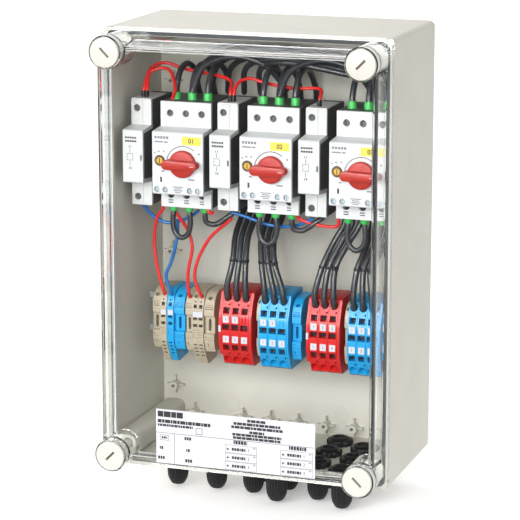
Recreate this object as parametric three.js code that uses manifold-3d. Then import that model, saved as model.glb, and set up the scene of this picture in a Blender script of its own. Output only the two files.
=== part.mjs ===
// Wall-mounted isolator and terminal box for three string circuits: an insulated enclosure with a clear
// lift-off cover, two mounting rails, three rotary switch-disconnectors with undervoltage releases beside
// them, rail terminals and cable glands. Millimetres, +Z up, +Y into the wall, front towards -Y.
// The origin is the centre of the back face, which lies on the wall.
import * as THREE from "three";
import { mergeVertices } from "three/addons/utils/BufferGeometryUtils.js";
import Module from "manifold-3d";

// ---- Driving dimensions ----
const WIDTH = 250;
const HEIGHT = 375;
const BASE_DEPTH = 125;
const COVER_FRONT = 155; // distance of the cover's front face from the wall
const CORNER_RADIUS = 5;
const WALL = 3.5;
const GAP = 0.3; // clearance between touching pieces
const RIM_WIDTH = 6.5; // the base's front rim carries the seal
const RIM_DEPTH = 4.5;

const FASTENER_X = 108.5;
const FASTENER_Z = 171;
const COLLAR_RADIUS = 14;
const COLLAR_BORE = 12.8;
const COLLAR_SIDES = 24;
const COLLAR_FRONT = 163.5;
const CAP_RADIUS = 12.3;
const CAP_FRONT = 164.5;
const STEM_RADIUS = 3.6;
const COLUMN_SIZE = 20.5;
const COLUMN_X = 111.75;
const COLUMN_Z = 174.25;
const COLUMN_BORE = 4.6;
const FIXING_HOLE_RADIUS = 2.8;

const RAIL_LENGTH = 236;
const RAIL_WIDTH = 35;
const RAIL_HAT = 27;
const RAIL_DEPTH = 7.5;
const RAIL_THICKNESS = 1;
const RAIL_BACK = 37.5; // distance of the rail's web from the wall
const RAIL_FRONT = RAIL_BACK + RAIL_DEPTH;
const UPPER_RAIL_Z = 77.5;
const LOWER_RAIL_Z = -73.5;
const POST_X = [-104, 46, 115];

const DEVICE_PITCH = 77.4;
const SWITCH_X = [-1, 0, 1].map((i) => 13.4 + i * DEVICE_PITCH);
const SWITCH_WIDTH = 45;
const RELEASE_OFFSET = -40.1; // release centre from its switch's centre
const RELEASE_WIDTH = 18;
const DEVICE_HALF = 45; // half the overall height of a device
const PLATE_TOP = 22.5; // front plate, measured from the rail's centre
const PLATE_Y = 115;
const STEP_Y = 95;
const SHELL = 3; // thickness of a device's front moulding
const POLE_PITCH = 14.1;
const KNOB_X = 5;
const KNOB_Z = -3.6;
const DIAL_X = -15.9;
const DIAL_Z = -2;

const TERMINAL_PITCH = 8.25;
const BLOCK_POLES = 3;
const WIRE_RADIUS = 2.6;
const WIRE_SIDES = 8;
const ENTRY_TILT = Math.PI / 4; // conductors enter a terminal at this angle from upright
const ENTRY_Y = -78.2; // centre of a conductor entry on a terminal's face, with its height from the rail
const ENTRY_HEIGHT = 27;
const SWITCH_TOP_ENTRY_Y = -79;
const SWITCH_REAR_ENTRY_Y = -62; // second entry in the underside of a switch

// ---- Colours ----
const finish = (color, roughness, metalness = 0) =>
  new THREE.MeshStandardMaterial({ color, roughness, metalness });
const LIGHT_GREY = finish(0xd0cbc0, 0.55);
const CLEAR = new THREE.MeshStandardMaterial({
  color: 0xe8eef0, roughness: 0.08, metalness: 0, transparent: true, opacity: 0.3,
});
const SEAL_GREY = finish(0x3c3d3f, 0.8);
const CREAM = finish(0xf1ece2, 0.45);
const ZINC = finish(0xb9bcc0, 0.35, 0.9);
const CHARCOAL = finish(0x3b3b3e, 0.6);
const WHITE = finish(0xeeeeef, 0.45);
const RED = finish(0xee4a3c, 0.4);
const BROWN = finish(0x8a4a22, 0.5);
const TERMINAL_RED = finish(0xcf2233, 0.45);
const TERMINAL_BLUE = finish(0x2f9be0, 0.45);
const BEIGE = finish(0xbfb29c, 0.5);
const BLACK = finish(0x161617, 0.5);
const WIRE_BLACK = finish(0x1c1c1e, 0.45);

// ---- Solids ----
const wasm = await Module();
wasm.setup();

// A closed geometry as a solid that can be joined and cut.
function solid(geometry) {
  const bare = geometry.index ? geometry.toNonIndexed() : geometry.clone();
  bare.deleteAttribute("normal");
  bare.deleteAttribute("uv");
  const merged = mergeVertices(bare, 1e-4);
  return new wasm.Manifold(
    new wasm.Mesh({
      numProp: 3,
      vertProperties: merged.attributes.position.array,
      triVerts: new Uint32Array(merged.index.array),
    }),
  );
}

const join = (first, ...rest) => rest.reduce((a, b) => a.add(b), first);
const cut = (first, ...rest) => rest.reduce((a, b) => a.subtract(b), first);

// A box between two values on each axis.
function slab([x0, x1], [y0, y1], [z0, z1]) {
  const box = new THREE.BoxGeometry(x1 - x0, y1 - y0, z1 - z0);
  return solid(box.translate((x0 + x1) / 2, (y0 + y1) / 2, (z0 + z1) / 2));
}

// A round bar along Y at (x, z).
function barY(radius, y0, y1, x = 0, z = 0, sides = 16, radiusBack = radius) {
  const bar = new THREE.CylinderGeometry(radiusBack, radius, y1 - y0, sides);
  return solid(bar.translate(x, (y0 + y1) / 2, z));
}

// A round or six-sided bar along Z at (x, y).
function barZ(radiusTop, radiusBottom, z0, z1, x = 0, y = 0, sides = 16) {
  const bar = new THREE.CylinderGeometry(radiusTop, radiusBottom, z1 - z0, sides);
  return solid(bar.rotateX(Math.PI / 2).translate(x, y, (z0 + z1) / 2));
}

// A round bar centred at [x, y, z] in a plane across X: tilt turns its top forwards from upright.
function barTilted(radius, length, tilt, [x, y, z], sides = 8) {
  const bar = new THREE.CylinderGeometry(radius, radius, length, sides);
  return solid(bar.rotateX(Math.PI / 2 + tilt).translate(x, y, z));
}

// An outline of [y, z] points pushed along X.
function profileX(points, x0, x1) {
  const shape = new THREE.Shape(points.map(([y, z]) => new THREE.Vector2(y, z)));
  const prism = new THREE.ExtrudeGeometry(shape, { depth: x1 - x0, bevelEnabled: false });
  const toYZ = new THREE.Matrix4().set(0, 0, 1, x0, 1, 0, 0, 0, 0, 1, 0, 0, 0, 0, 0, 1);
  return solid(prism.applyMatrix4(toYZ));
}

// A solid through rounded rectangles given as { y, halfX, halfZ, radius }, front to back.
function loft(sections, cornerSteps = 6) {
  const rings = sections.map(({ y, halfX, halfZ, radius }) => {
    const ring = [];
    for (const [sx, sz, start] of [[1, 1, 0], [-1, 1, 1], [-1, -1, 2], [1, -1, 3]])
      for (let i = 0; i <= cornerSteps; i++) {
        const angle = ((start + i / cornerSteps) * Math.PI) / 2;
        ring.push([
          sx * (halfX - radius) + radius * Math.cos(angle), y,
          sz * (halfZ - radius) + radius * Math.sin(angle),
        ]);
      }
    return ring;
  });
  const count = rings[0].length;
  const faces = [];
  for (let s = 0; s + 1 < rings.length; s++)
    for (let i = 0; i < count; i++) {
      const j = (i + 1) % count;
      const [a, b] = [s * count, (s + 1) * count];
      faces.push([a + i, b + j, a + j], [a + i, b + i, b + j]);
    }
  const last = (rings.length - 1) * count;
  for (let i = 1; i + 1 < count; i++) {
    faces.push([0, i, i + 1], [last, last + i + 1, last + i]);
  }
  const geometry = new THREE.BufferGeometry();
  geometry.setAttribute("position", new THREE.Float32BufferAttribute(rings.flat(2), 3));
  geometry.setIndex(faces.flat());
  return solid(geometry);
}

// A tube of wire through a list of points.
function wire(points, steps, radius = WIRE_RADIUS) {
  const section = new THREE.Shape();
  for (let i = 0; i < WIRE_SIDES; i++) {
    const angle = (i / WIRE_SIDES) * 2 * Math.PI;
    const [u, v] = [radius * Math.cos(angle), radius * Math.sin(angle)];
    if (i === 0) section.moveTo(u, v);
    else section.lineTo(u, v);
  }
  const path = new THREE.CatmullRomCurve3(points.map((p) => new THREE.Vector3(...p)));
  return solid(new THREE.ExtrudeGeometry(section, { steps, extrudePath: path }));
}

const box = new THREE.Group();

// Adds a solid to a group as a named mesh.
function addMesh(name, body, material, parent = box, place = [0, 0, 0]) {
  const { numProp, vertProperties, triVerts } = body.getMesh();
  const positions = [];
  for (let i = 0; i < vertProperties.length; i += numProp)
    positions.push(vertProperties[i], vertProperties[i + 1], vertProperties[i + 2]);
  const geometry = new THREE.BufferGeometry();
  geometry.setAttribute("position", new THREE.Float32BufferAttribute(positions, 3));
  geometry.setIndex(Array.from(triVerts));
  const mesh = new THREE.Mesh(geometry, material);
  mesh.name = name;
  mesh.position.set(...place);
  parent.add(mesh);
  return mesh;
}

const corners = [
  ["top_left", -1, 1],
  ["top_right", 1, 1],
  ["bottom_left", -1, -1],
  ["bottom_right", 1, -1],
];

// ---- Cable glands: places, then sizes ----
const SMALL_GLAND = { nut: 11.3, dome: 8.9, thread: 7.9, length: 25.5 };
const LARGE_GLAND = { nut: 14.2, dome: 10.4, thread: 9.9, length: 27 };
const GLAND_ROW_PITCH = 32;
const glandPlaces = [
  ...[-5, 53].flatMap((x) => [0, 1, 2].map((i) => ({ x, y: -93 + i * GLAND_ROW_PITCH }))),
  ...[21, 79].flatMap((x) => [0, 1, 2].map((i) => ({ x, y: -108 + i * GLAND_ROW_PITCH }))),
].map((place) => ({ ...place, size: SMALL_GLAND }));
glandPlaces.push({ x: -75, y: -92, size: LARGE_GLAND }, { x: -39, y: -92, size: LARGE_GLAND });

// ---- Enclosure base ----
function enclosureBase() {
  const [halfX, halfZ] = [WIDTH / 2, HEIGHT / 2];
  const ring = (y, inset, radius) => ({ y, halfX: halfX - inset, halfZ: halfZ - inset, radius });
  const outside = loft([
    ring(-BASE_DEPTH, 0, CORNER_RADIUS),
    ring(-1.5, 0, CORNER_RADIUS),
    ring(0, 1.5, CORNER_RADIUS - 1.5),
  ]);
  const cavity = loft([
    ring(-BASE_DEPTH + RIM_DEPTH, WALL, CORNER_RADIUS - WALL),
    ring(-WALL, WALL, CORNER_RADIUS - WALL),
  ]);
  const mouth = loft([ring(-BASE_DEPTH - 1, RIM_WIDTH, 4), ring(-BASE_DEPTH + RIM_DEPTH + 1, RIM_WIDTH, 4)]);
  let base = cut(outside, cavity, mouth);

  for (const [, sx, sz] of corners) {
    const half = COLUMN_SIZE / 2;
    const column = loft([
      { y: -BASE_DEPTH + 0.5, halfX: half, halfZ: half, radius: 6 },
      { y: -1, halfX: half, halfZ: half, radius: 6 },
    ]).translate([sx * COLUMN_X, 0, sz * COLUMN_Z]);
    // Fills the pocket between the column's round corner and the walls.
    const pocket = slab(
      [sx * 117, sx * 122.5].sort((a, b) => a - b),
      [-BASE_DEPTH + 1, -1.5],
      [sz * 179.5, sz * 185].sort((a, b) => a - b),
    );
    base = join(base, column, pocket);
    base = cut(
      base,
      barY(COLUMN_BORE, -BASE_DEPTH - 1, -8, sx * FASTENER_X, sz * FASTENER_Z, 12),
      barY(FIXING_HOLE_RADIUS, -9, 1, sx * FASTENER_X, sz * FASTENER_Z, 8),
    );
  }

  const railPosts = POST_X.flatMap((x) =>
    [UPPER_RAIL_Z, LOWER_RAIL_Z].map((z) =>
      slab([x - 6.5, x + 6.5], [-RAIL_BACK + GAP, -WALL + 1], [z - 11, z + 11]),
    ),
  );
  base = join(base, ...railPosts);

  // Screw bosses on the back wall, each with a cross of ribs.
  const bossRadius = 4;
  const bossFront = -14;
  const ribReach = 8;
  const bosses = [
    [-109, -150], [-91, -174], [-111, -116], [-111, -26], [-111, 20], [-109, 127], [109, -26], [109, 20],
    ...[-45, -19, 7, 33, 59, 85].map((x) => [x, -174.5]),
  ];
  for (const [x, z] of bosses) {
    base = join(
      base,
      barY(bossRadius, bossFront, -WALL + 1, x, z, 10),
      slab([x - ribReach, x + ribReach], [bossFront + 5, -WALL + 1], [z - 0.7, z + 0.7]),
      slab([x - 0.7, x + 0.7], [bossFront + 5, -WALL + 1], [z - ribReach, z + ribReach]),
    );
    base = cut(base, barY(1.7, bossFront - 1, -WALL - 0.5, x, z, 6));
  }

  for (const { x, y, size } of glandPlaces)
    base = cut(base, barZ(size.thread + GAP, size.thread + GAP, -halfZ - 1, -halfZ + WALL + 1, x, y, 8));
  return base;
}
addMesh("enclosure_base", enclosureBase(), LIGHT_GREY);

// ---- Clear cover with a collar at each corner ----
const FLANGE_FRONT = 131;
const SEAL_FRONT = 128.5;
const SEAL_OUTER_INSET = 2.7;
const SEAL_WIDTH = 2.9;

function frontCover() {
  const ring = (y, halfX, halfZ, radius) => ({ y: -y, halfX, halfZ, radius });
  const outside = loft([
    ring(COVER_FRONT, 117.5, 174, 7),
    ring(COVER_FRONT - 1.5, 119, 175.5, 8.5),
    ring(FLANGE_FRONT, 119.9, 178.9, 9),
    ring(FLANGE_FRONT - 0.01, WIDTH / 2, HEIGHT / 2, CORNER_RADIUS),
    ring(BASE_DEPTH + GAP, WIDTH / 2, HEIGHT / 2, CORNER_RADIUS),
  ]);
  const inside = loft([
    ring(COVER_FRONT - 3, 116, 172.5, 6),
    ring(SEAL_FRONT, 116.9, 175.9, 6),
    ring(BASE_DEPTH, 116.9, 175.9, 6),
  ]);
  const sealChannel = loft([
    ring(SEAL_FRONT, WIDTH / 2 - SEAL_OUTER_INSET + GAP, HEIGHT / 2 - SEAL_OUTER_INSET + GAP, 7),
    ring(BASE_DEPTH, WIDTH / 2 - SEAL_OUTER_INSET + GAP, HEIGHT / 2 - SEAL_OUTER_INSET + GAP, 7),
  ]);
  let cover = cut(outside, inside, sealChannel);
  for (const [, sx, sz] of corners) {
    const [x, z] = [sx * FASTENER_X, sz * FASTENER_Z];
    const webFront = -156;
    const webBack = -153;
    cover = join(cover, barY(COLLAR_RADIUS, -COLLAR_FRONT, -SEAL_FRONT - 0.5, x, z, COLLAR_SIDES));
    cover = cut(
      cover,
      barY(COLLAR_BORE, -COLLAR_FRONT - 1, webFront, x, z, COLLAR_SIDES),
      barY(COLLAR_BORE, webBack, -BASE_DEPTH, x, z, COLLAR_SIDES),
      barY(STEM_RADIUS + 0.6, webFront - 1, webBack + 1, x, z, 16),
    );
  }
  return cover;
}
addMesh("front_cover", frontCover(), CLEAR);

function coverGasket() {
  const ring = (y, inset, radius) => ({
    y: -y, halfX: WIDTH / 2 - inset, halfZ: HEIGHT / 2 - inset, radius,
  });
  const front = SEAL_FRONT - GAP;
  const back = BASE_DEPTH + GAP;
  const inner = SEAL_OUTER_INSET + SEAL_WIDTH;
  const outside = loft([ring(front, SEAL_OUTER_INSET, 6.5), ring(back, SEAL_OUTER_INSET, 6.5)]);
  return cut(outside, loft([ring(front + 1, inner, 4), ring(back - 1, inner, 4)]));
}
addMesh("cover_gasket", coverGasket(), SEAL_GREY);

// ---- Quarter-turn cover fasteners ----
function coverFastener() {
  const capBack = 156.3;
  const cap = join(
    barY(CAP_RADIUS - 0.7, -CAP_FRONT, -CAP_FRONT + 0.8, 0, 0, 24, CAP_RADIUS),
    barY(CAP_RADIUS, -CAP_FRONT + 0.7, -capBack, 0, 0, 24),
    barY(STEM_RADIUS, -capBack - 0.5, -108, 0, 0, 12),
  );
  const slot = slab([-5.2, 5.2], [-CAP_FRONT - 1, -CAP_FRONT + 2.6], [-1, 1]);
  return cut(cap, slot);
}
for (const [name, sx, sz] of corners) {
  const place = [sx * FASTENER_X, 0, sz * FASTENER_Z];
  const fastener = addMesh("cover_fastener_" + name, coverFastener(), CREAM, box, place);
  fastener.rotation.y = (sx * sz * -Math.PI) / 4;
}

// ---- Mounting rails ----
function mountingRail(z) {
  const [half, hat, t] = [RAIL_WIDTH / 2, RAIL_HAT / 2, RAIL_THICKNESS];
  const [back, front] = [-RAIL_BACK, -RAIL_FRONT];
  const outline = [
    [back, hat], [front + t, hat], [front + t, half], [front, half], [front, hat - t],
    [back - t, hat - t], [back - t, -hat + t],
    [front, -hat + t], [front, -half], [front + t, -half], [front + t, -hat], [back, -hat],
  ];
  return profileX(outline, -RAIL_LENGTH / 2, RAIL_LENGTH / 2).translate([0, 0, z]);
}
addMesh("upper_rail", mountingRail(UPPER_RAIL_Z), ZINC);
addMesh("lower_rail", mountingRail(LOWER_RAIL_Z), ZINC);

// The claws that hold a device on a rail: two feet over the rail's lips, each with a hook behind its lip.
function railClaws(x0, x1) {
  const lip = RAIL_WIDTH / 2 + GAP;
  const foot = (side) => {
    const outer = [side * lip, side * (lip + 4)].sort((a, b) => a - b);
    const hook = [side * (lip - 2.4), side * (lip + 1)].sort((a, b) => a - b);
    return join(
      slab([x0, x1], [-RAIL_FRONT - 1, -40.8], outer),
      slab([x0, x1], [-RAIL_FRONT + RAIL_THICKNESS + GAP, -40.8], hook),
    );
  };
  return join(foot(1), foot(-1));
}

// ---- Rotary switch-disconnectors and undervoltage releases ----
// The stepped outline, seen from the side, of a device whose front plate ends at plateBottom.
function steppedOutline(inset, plateBottom) {
  const [plate, step] = [-PLATE_Y + inset, -STEP_Y + inset];
  const [top, bottom] = [PLATE_TOP - inset, plateBottom + inset];
  return [
    [step, DEVICE_HALF], [step, top + 1.5], [plate + 1, top], [plate, top - 1],
    [plate, bottom + 1], [plate + 1, bottom], [step, bottom - 1.5], [step, -DEVICE_HALF],
  ];
}

function deviceShell(width, plateBottom) {
  const outer = steppedOutline(0, plateBottom);
  const inner = steppedOutline(SHELL, plateBottom).reverse();
  return profileX([...outer, ...inner], -width / 2, width / 2);
}

function deviceBody(width, plateBottom) {
  const back = -RAIL_FRONT - GAP;
  const outline = [[back, DEVICE_HALF], ...steppedOutline(SHELL + GAP, plateBottom), [back, -DEVICE_HALF]];
  return join(profileX(outline, -width / 2, width / 2), railClaws(-width / 2 + 2, width / 2 - 2));
}

const SWITCH_PLATE_BOTTOM = -30.5;
const poles = [-1, 0, 1].map((i) => i * POLE_PITCH);

function switchFront() {
  const shell = deviceShell(SWITCH_WIDTH, SWITCH_PLATE_BOTTOM);
  const through = (radius, x, z, sides) => barY(radius, -PLATE_Y - 2, -STEP_Y + SHELL + 1, x, z, sides);
  const upperHoles = poles.map((x) => through(2.7, x, 35.2, 8));
  const screwHoles = [-18.6, -11.1, 10.6, 18].map((x) => through(2.4, x, -26.4, 8));
  const lowerSlots = poles.map((x) => slab([x - 3, x + 3], [-STEP_Y - 2, -STEP_Y + SHELL + 1], [-39, -35]));
  return cut(
    shell,
    ...upperHoles,
    ...screwHoles,
    ...lowerSlots,
    through(4.5, KNOB_X, KNOB_Z, 16),
    through(4.7, DIAL_X, DIAL_Z, 16),
    slab([DIAL_X + 0.2, DIAL_X + 2], [-PLATE_Y - 1, -PLATE_Y + SHELL + 1], [-20, -16]),
  );
}

function switchBase() {
  return cut(
    deviceBody(SWITCH_WIDTH, SWITCH_PLATE_BOTTOM),
    barY(4.5, -PLATE_Y, -104, KNOB_X, KNOB_Z, 16),
  );
}

function knob() {
  const discFront = -PLATE_Y - 5;
  const handleFront = -PLATE_Y - 11.5;
  const handle = slab([-15.6, 15.6], [handleFront, discFront + 1], [-3.5, 3.5]);
  return join(
    barY(10.6, discFront, discFront + 1.5, 0, 0, 24, 11.5),
    barY(11.5, discFront + 1.4, -PLATE_Y - GAP, 0, 0, 24),
    handle,
    barY(4, -PLATE_Y - 1, -105, 0, 0, 12),
  );
}

function settingDial() {
  const dial = barY(4.3, -PLATE_Y - 0.6, -PLATE_Y + SHELL - GAP, 0, 0, 16);
  return cut(dial, slab([-3.1, 3.1], [-PLATE_Y - 2, -PLATE_Y + 1], [-0.6, 0.6]));
}

function releaseFront() {
  const shell = deviceShell(RELEASE_WIDTH, -PLATE_TOP);
  const holes = [38, -38].map((z) => barY(3, -STEP_Y - 2, -STEP_Y + SHELL + 1, -3.8, z, 10));
  const flag = slab([6.6, 8], [-PLATE_Y - 1, -PLATE_Y + SHELL + 1], [-3.4, 1.4]);
  return cut(shell, ...holes, flag);
}

SWITCH_X.forEach((x, i) => {
  const device = new THREE.Group();
  device.position.set(x, 0, UPPER_RAIL_Z);
  box.add(device);
  const name = "switch_" + (i + 1);
  addMesh(name + "_base", switchBase(), CHARCOAL, device);
  addMesh(name + "_front", switchFront(), WHITE, device);
  addMesh(name + "_knob", knob(), RED, device, [KNOB_X, 0, KNOB_Z]);
  addMesh(name + "_setting_dial", settingDial(), BROWN, device, [DIAL_X, 0, DIAL_Z]);

  const release = new THREE.Group();
  release.position.set(x + RELEASE_OFFSET, 0, UPPER_RAIL_Z);
  box.add(release);
  addMesh("release_" + (i + 1) + "_base", deviceBody(RELEASE_WIDTH, -PLATE_TOP), CHARCOAL, release);
  addMesh("release_" + (i + 1) + "_front", releaseFront(), WHITE, release);
});

// ---- Rail terminals ----
const TERMINAL_BACK = -RAIL_FRONT - GAP;
const FRAME = 0.6; // a trough leaves this much of the block standing at its left end

// Outlines seen from the side, top half then bottom half, measured from the rail's centre.
const BLOCK_FRONT = -85;
const BLOCK_HALF = 33;
const BLOCK_OUTLINE = [
  [TERMINAL_BACK, BLOCK_HALF], [-72.5, BLOCK_HALF], [-76.5, 31.5], [-84.2, 13], [BLOCK_FRONT, 10],
  [BLOCK_FRONT, -11], [-83.8, -16], [-77.5, -31], [-74, -BLOCK_HALF], [TERMINAL_BACK, -BLOCK_HALF],
];

// Cuts the slanting round entries for conductors at the top and bottom of a terminal.
function cutEntries(terminal, x, radius, y) {
  const at = (side) => barTilted(radius, 13, side * ENTRY_TILT, [x, y, side * ENTRY_HEIGHT]);
  return cut(terminal, at(1), at(-1));
}

function terminalBlock({ leadPlate, endPlate }) {
  const width = BLOCK_POLES * TERMINAL_PITCH;
  let block = join(profileX(BLOCK_OUTLINE, -leadPlate, width + endPlate), railClaws(1, width - 1));
  block = cut(block, slab([FRAME, width - FRAME], [BLOCK_FRONT - 1, -78], [-0.6, 4.6]));
  if (leadPlate > 0)
    block = cut(
      block,
      slab([-leadPlate - 1, 0], [BLOCK_FRONT - 1, TERMINAL_BACK + 1], [-BLOCK_HALF - 1, -23]),
    );
  const holeHalf = 2.6;
  for (let i = 0; i < BLOCK_POLES; i++) {
    const x = (i + 0.5) * TERMINAL_PITCH;
    block = cutEntries(block, x, WIRE_RADIUS + 0.9, ENTRY_Y);
    for (const z of [13.6, -18.6])
      block = cut(block, slab([x - holeHalf, x + holeHalf], [BLOCK_FRONT - 1, -76], [z, z + 2 * holeHalf]));
  }
  return block;
}

const blocks = [
  { name: "red_terminal_block_1", x: -36.9, material: TERMINAL_RED, leadPlate: 2.2, endPlate: 2.4 },
  { name: "blue_terminal_block_1", x: -3.1, material: TERMINAL_BLUE, leadPlate: 0, endPlate: 1.8 },
  { name: "red_terminal_block_2", x: 41.7, material: TERMINAL_RED, leadPlate: 2.2, endPlate: 2.4 },
  { name: "blue_terminal_block_2", x: 75.5, material: TERMINAL_BLUE, leadPlate: 0, endPlate: 1.8 },
];
for (const block of blocks)
  addMesh(block.name, terminalBlock(block), block.material, box, [block.x, 0, LOWER_RAIL_Z]);

// Narrower terminals of the release circuits: rounder at the top, falling away at the bottom.
const FEED_FRONT = -80;
const FEED_OUTLINE = [
  [TERMINAL_BACK, 29.5], [-68, 29.5], [-72.5, 28], [-77, 23.5], [-79.2, 18], [FEED_FRONT, 13],
  [FEED_FRONT, -14], [-79, -18.5], [-75.5, -24.5], [-72, -30.5], [-68, -36.3], [-65, -37],
  [TERMINAL_BACK, -35],
];
function feedTerminal(poleCount, pitch) {
  const width = poleCount * pitch;
  let terminal = join(profileX(FEED_OUTLINE, 0, width), railClaws(0.5, width - 0.5));
  for (let i = 0; i < poleCount; i++) {
    const x = (i + 0.5) * pitch;
    terminal = cut(terminal, barTilted(1.9, 13, ENTRY_TILT, [x, -75.7, 25]));
    for (const [z, halfWidth, halfHeight] of [[16.5, 1.5, 1.6], [5.6, 1.9, 1.1], [-0.4, 1.9, 1.3]])
      terminal = cut(
        terminal,
        slab([x - halfWidth, x + halfWidth], [FEED_FRONT - 1, -74], [z - halfHeight, z + halfHeight]),
      );
  }
  return terminal;
}
const SUPPLY_PITCH = 6.2;
const SIGNAL_PITCH = 5.15;
const feeds = [
  { name: "supply_terminal_line", x: -95, poles: 1, pitch: SUPPLY_PITCH, material: BEIGE },
  { name: "supply_terminal_neutral", x: -88.5, poles: 1, pitch: SUPPLY_PITCH, material: TERMINAL_BLUE },
  { name: "signal_terminals", x: -65.1, poles: 2, pitch: SIGNAL_PITCH, material: BEIGE },
];
for (const { name, x, poles: count, pitch, material } of feeds)
  addMesh(name, feedTerminal(count, pitch), material, box, [x, 0, LOWER_RAIL_Z]);

// End clamps: a screw-on stop at the ends of each row of terminals. Thin ones are plain end plates.
const CLAMP_OUTLINE = [
  [TERMINAL_BACK, 29], [-66, 29], [-71, 27.5], [-76, 23], [-78.5, 17.5], [-79.3, 12], [-79.3, 8.6],
  [-76.6, 7.4], [-76.6, -6.4], [-79.3, -7.6], [-79.3, -13], [-77.5, -19.5], [-75.5, -23.5],
  [TERMINAL_BACK, -23.5],
];
const THIN_CLAMP = 5;
function endClamp(width) {
  const clamp = join(profileX(CLAMP_OUTLINE, 0, width), railClaws(0.4, width - 0.4));
  if (width < THIN_CLAMP) return clamp;
  return cut(clamp, barTilted(1.9, 13, ENTRY_TILT, [width / 2, -75.2, 24]));
}
const clamps = [
  { name: "supply_end_clamp_left", x: -101.7, width: 6.4, material: BEIGE },
  { name: "supply_end_clamp_right", x: -82, width: 9.2, material: TERMINAL_BLUE },
  { name: "signal_end_clamp_left", x: -71.6, width: 6.2, material: BEIGE },
  { name: "signal_end_clamp_right", x: -54.4, width: 9, material: BEIGE },
  { name: "block_end_plate_1", x: -6.8, width: 3.4, material: BEIGE },
  { name: "block_end_clamp_1", x: 25, width: 8, material: TERMINAL_BLUE },
  { name: "block_end_plate_2", x: 71.6, width: 3.6, material: BEIGE },
  { name: "block_end_clamp_2", x: 102.4, width: 7.2, material: TERMINAL_BLUE },
];
for (const { name, x, width, material } of clamps)
  addMesh(name, endClamp(width), material, box, [x, 0, LOWER_RAIL_Z]);

// ---- Cable glands: cap, body, thread through the wall and locknut inside, closed by a blanking insert ----
function cableGland({ nut, dome, thread, length }) {
  const outside = -HEIGHT / 2 - GAP;
  const inside = -HEIGHT / 2 + WALL + GAP;
  return join(
    barZ(nut, nut, outside - 5.5, outside, 0, 0, 6),
    barZ(dome + 0.4, dome, outside - length + 8, outside - 5, 0, 0, 10),
    barZ(dome, dome - 1.5, outside - length + 3.5, outside - length + 8, 0, 0, 10),
    barZ(dome - 1.5, dome - 4, outside - length, outside - length + 3.5, 0, 0, 10),
    barZ(thread, thread, outside - 1, inside + 7, 0, 0, 8),
    barZ(nut + 0.2, nut + 0.2, inside, inside + 4.8, 0, 0, 6),
  );
}
glandPlaces.forEach(({ x, y, size }, i) => {
  const name = "cable_gland_" + String(i + 1).padStart(2, "0");
  addMesh(name, cableGland(size), BLACK, box, [x, y, 0]);
});

// ---- String leads: three conductors from a terminal block to a switch, held by a cable tie ----
const blockPoleX = (block) => [0, 1, 2].map((i) => blocks[block].x + (i + 0.5) * TERMINAL_PITCH);
const switchPoleX = (index) => poles.map((x) => SWITCH_X[index] + x);
const SWITCH_BOTTOM_Z = UPPER_RAIL_Z - DEVICE_HALF - 0.5;
const SWITCH_TOP_Z = UPPER_RAIL_Z + DEVICE_HALF + 0.5;
const LEAD_PITCH = 5.8;
const TIE_DEPTH = 3.2;
const TIE_HEIGHT = 1.6;

const ENTRY_Z = LOWER_RAIL_Z + ENTRY_HEIGHT;

// A conductor: a slanting tail in its terminal, an upright start in front of the block, then the route.
function conductor(x, route, steps) {
  const tail = barTilted(WIRE_RADIUS, 8.4, ENTRY_TILT, [x, ENTRY_Y - 1, ENTRY_Z + 1]);
  const start = [[x, ENTRY_Y - 3.2, ENTRY_Z + 1.6], [x, ENTRY_Y - 3.4, ENTRY_Z + 9]];
  return join(tail, wire([...start, ...route], steps));
}

function tiedLeads(conductors, { x, y, z }) {
  const half = 1.5 * LEAD_PITCH + 0.3;
  const tie = slab([x - half, x + half], [y - TIE_DEPTH, y + TIE_DEPTH], [z - TIE_HEIGHT, z + TIE_HEIGHT]);
  return join(...conductors, tie);
}

const TIE_Y = -77;
const TIE_Z = -14;

// Up behind the upper rail and over into the top of a switch.
function leadsBehindRail(block, index, tieX, riseX) {
  const conductors = blockPoleX(block).map((x, i) => {
    const side = (i - 1) * LEAD_PITCH;
    const top = switchPoleX(index)[i];
    return conductor(
      x,
      [
        [tieX + side, TIE_Y, TIE_Z], [riseX + side, -65, 4], [riseX + side * 1.1, -46, 19],
        [riseX + side * 1.3, -27, 36], [riseX * 0.5 + top * 0.5, -20, 78], [top, -22, 118],
        [top, -33, 139], [top, -52, 149], [top, -70, 145], [top, SWITCH_TOP_ENTRY_Y, SWITCH_TOP_Z + 8],
        [top, SWITCH_TOP_ENTRY_Y, SWITCH_TOP_Z],
      ],
      22,
    );
  });
  return tiedLeads(conductors, { x: tieX, y: TIE_Y, z: TIE_Z });
}

// Up to the rear entries in the underside of a switch.
function leadsToUnderside(block, tieX, endX) {
  const conductors = blockPoleX(block).map((x, i) => {
    const side = (i - 1) * LEAD_PITCH;
    return conductor(
      x,
      [
        [tieX + side, TIE_Y, TIE_Z], [(tieX + endX) / 2 + side * 1.1, -68, 6],
        [endX + side * 1.15, SWITCH_REAR_ENTRY_Y, SWITCH_BOTTOM_Z - 10],
        [endX + side * 1.15, SWITCH_REAR_ENTRY_Y, SWITCH_BOTTOM_Z],
      ],
      13,
    );
  });
  return tiedLeads(conductors, { x: tieX, y: TIE_Y, z: TIE_Z });
}
addMesh("string_leads_1", leadsBehindRail(0, 0, -23, -25), WIRE_BLACK);
addMesh("string_leads_2", leadsBehindRail(1, 1, 2.8, -1.5), WIRE_BLACK);
addMesh("string_leads_3", leadsToUnderside(2, 56.8, 72.5), WIRE_BLACK);
addMesh("string_leads_4", leadsBehindRail(3, 2, 87.4, 91.8), WIRE_BLACK);

export default box;
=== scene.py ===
from math import cos, pi, radians, sin, sqrt

import bmesh
import bpy
from mathutils import Matrix, Vector


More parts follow.
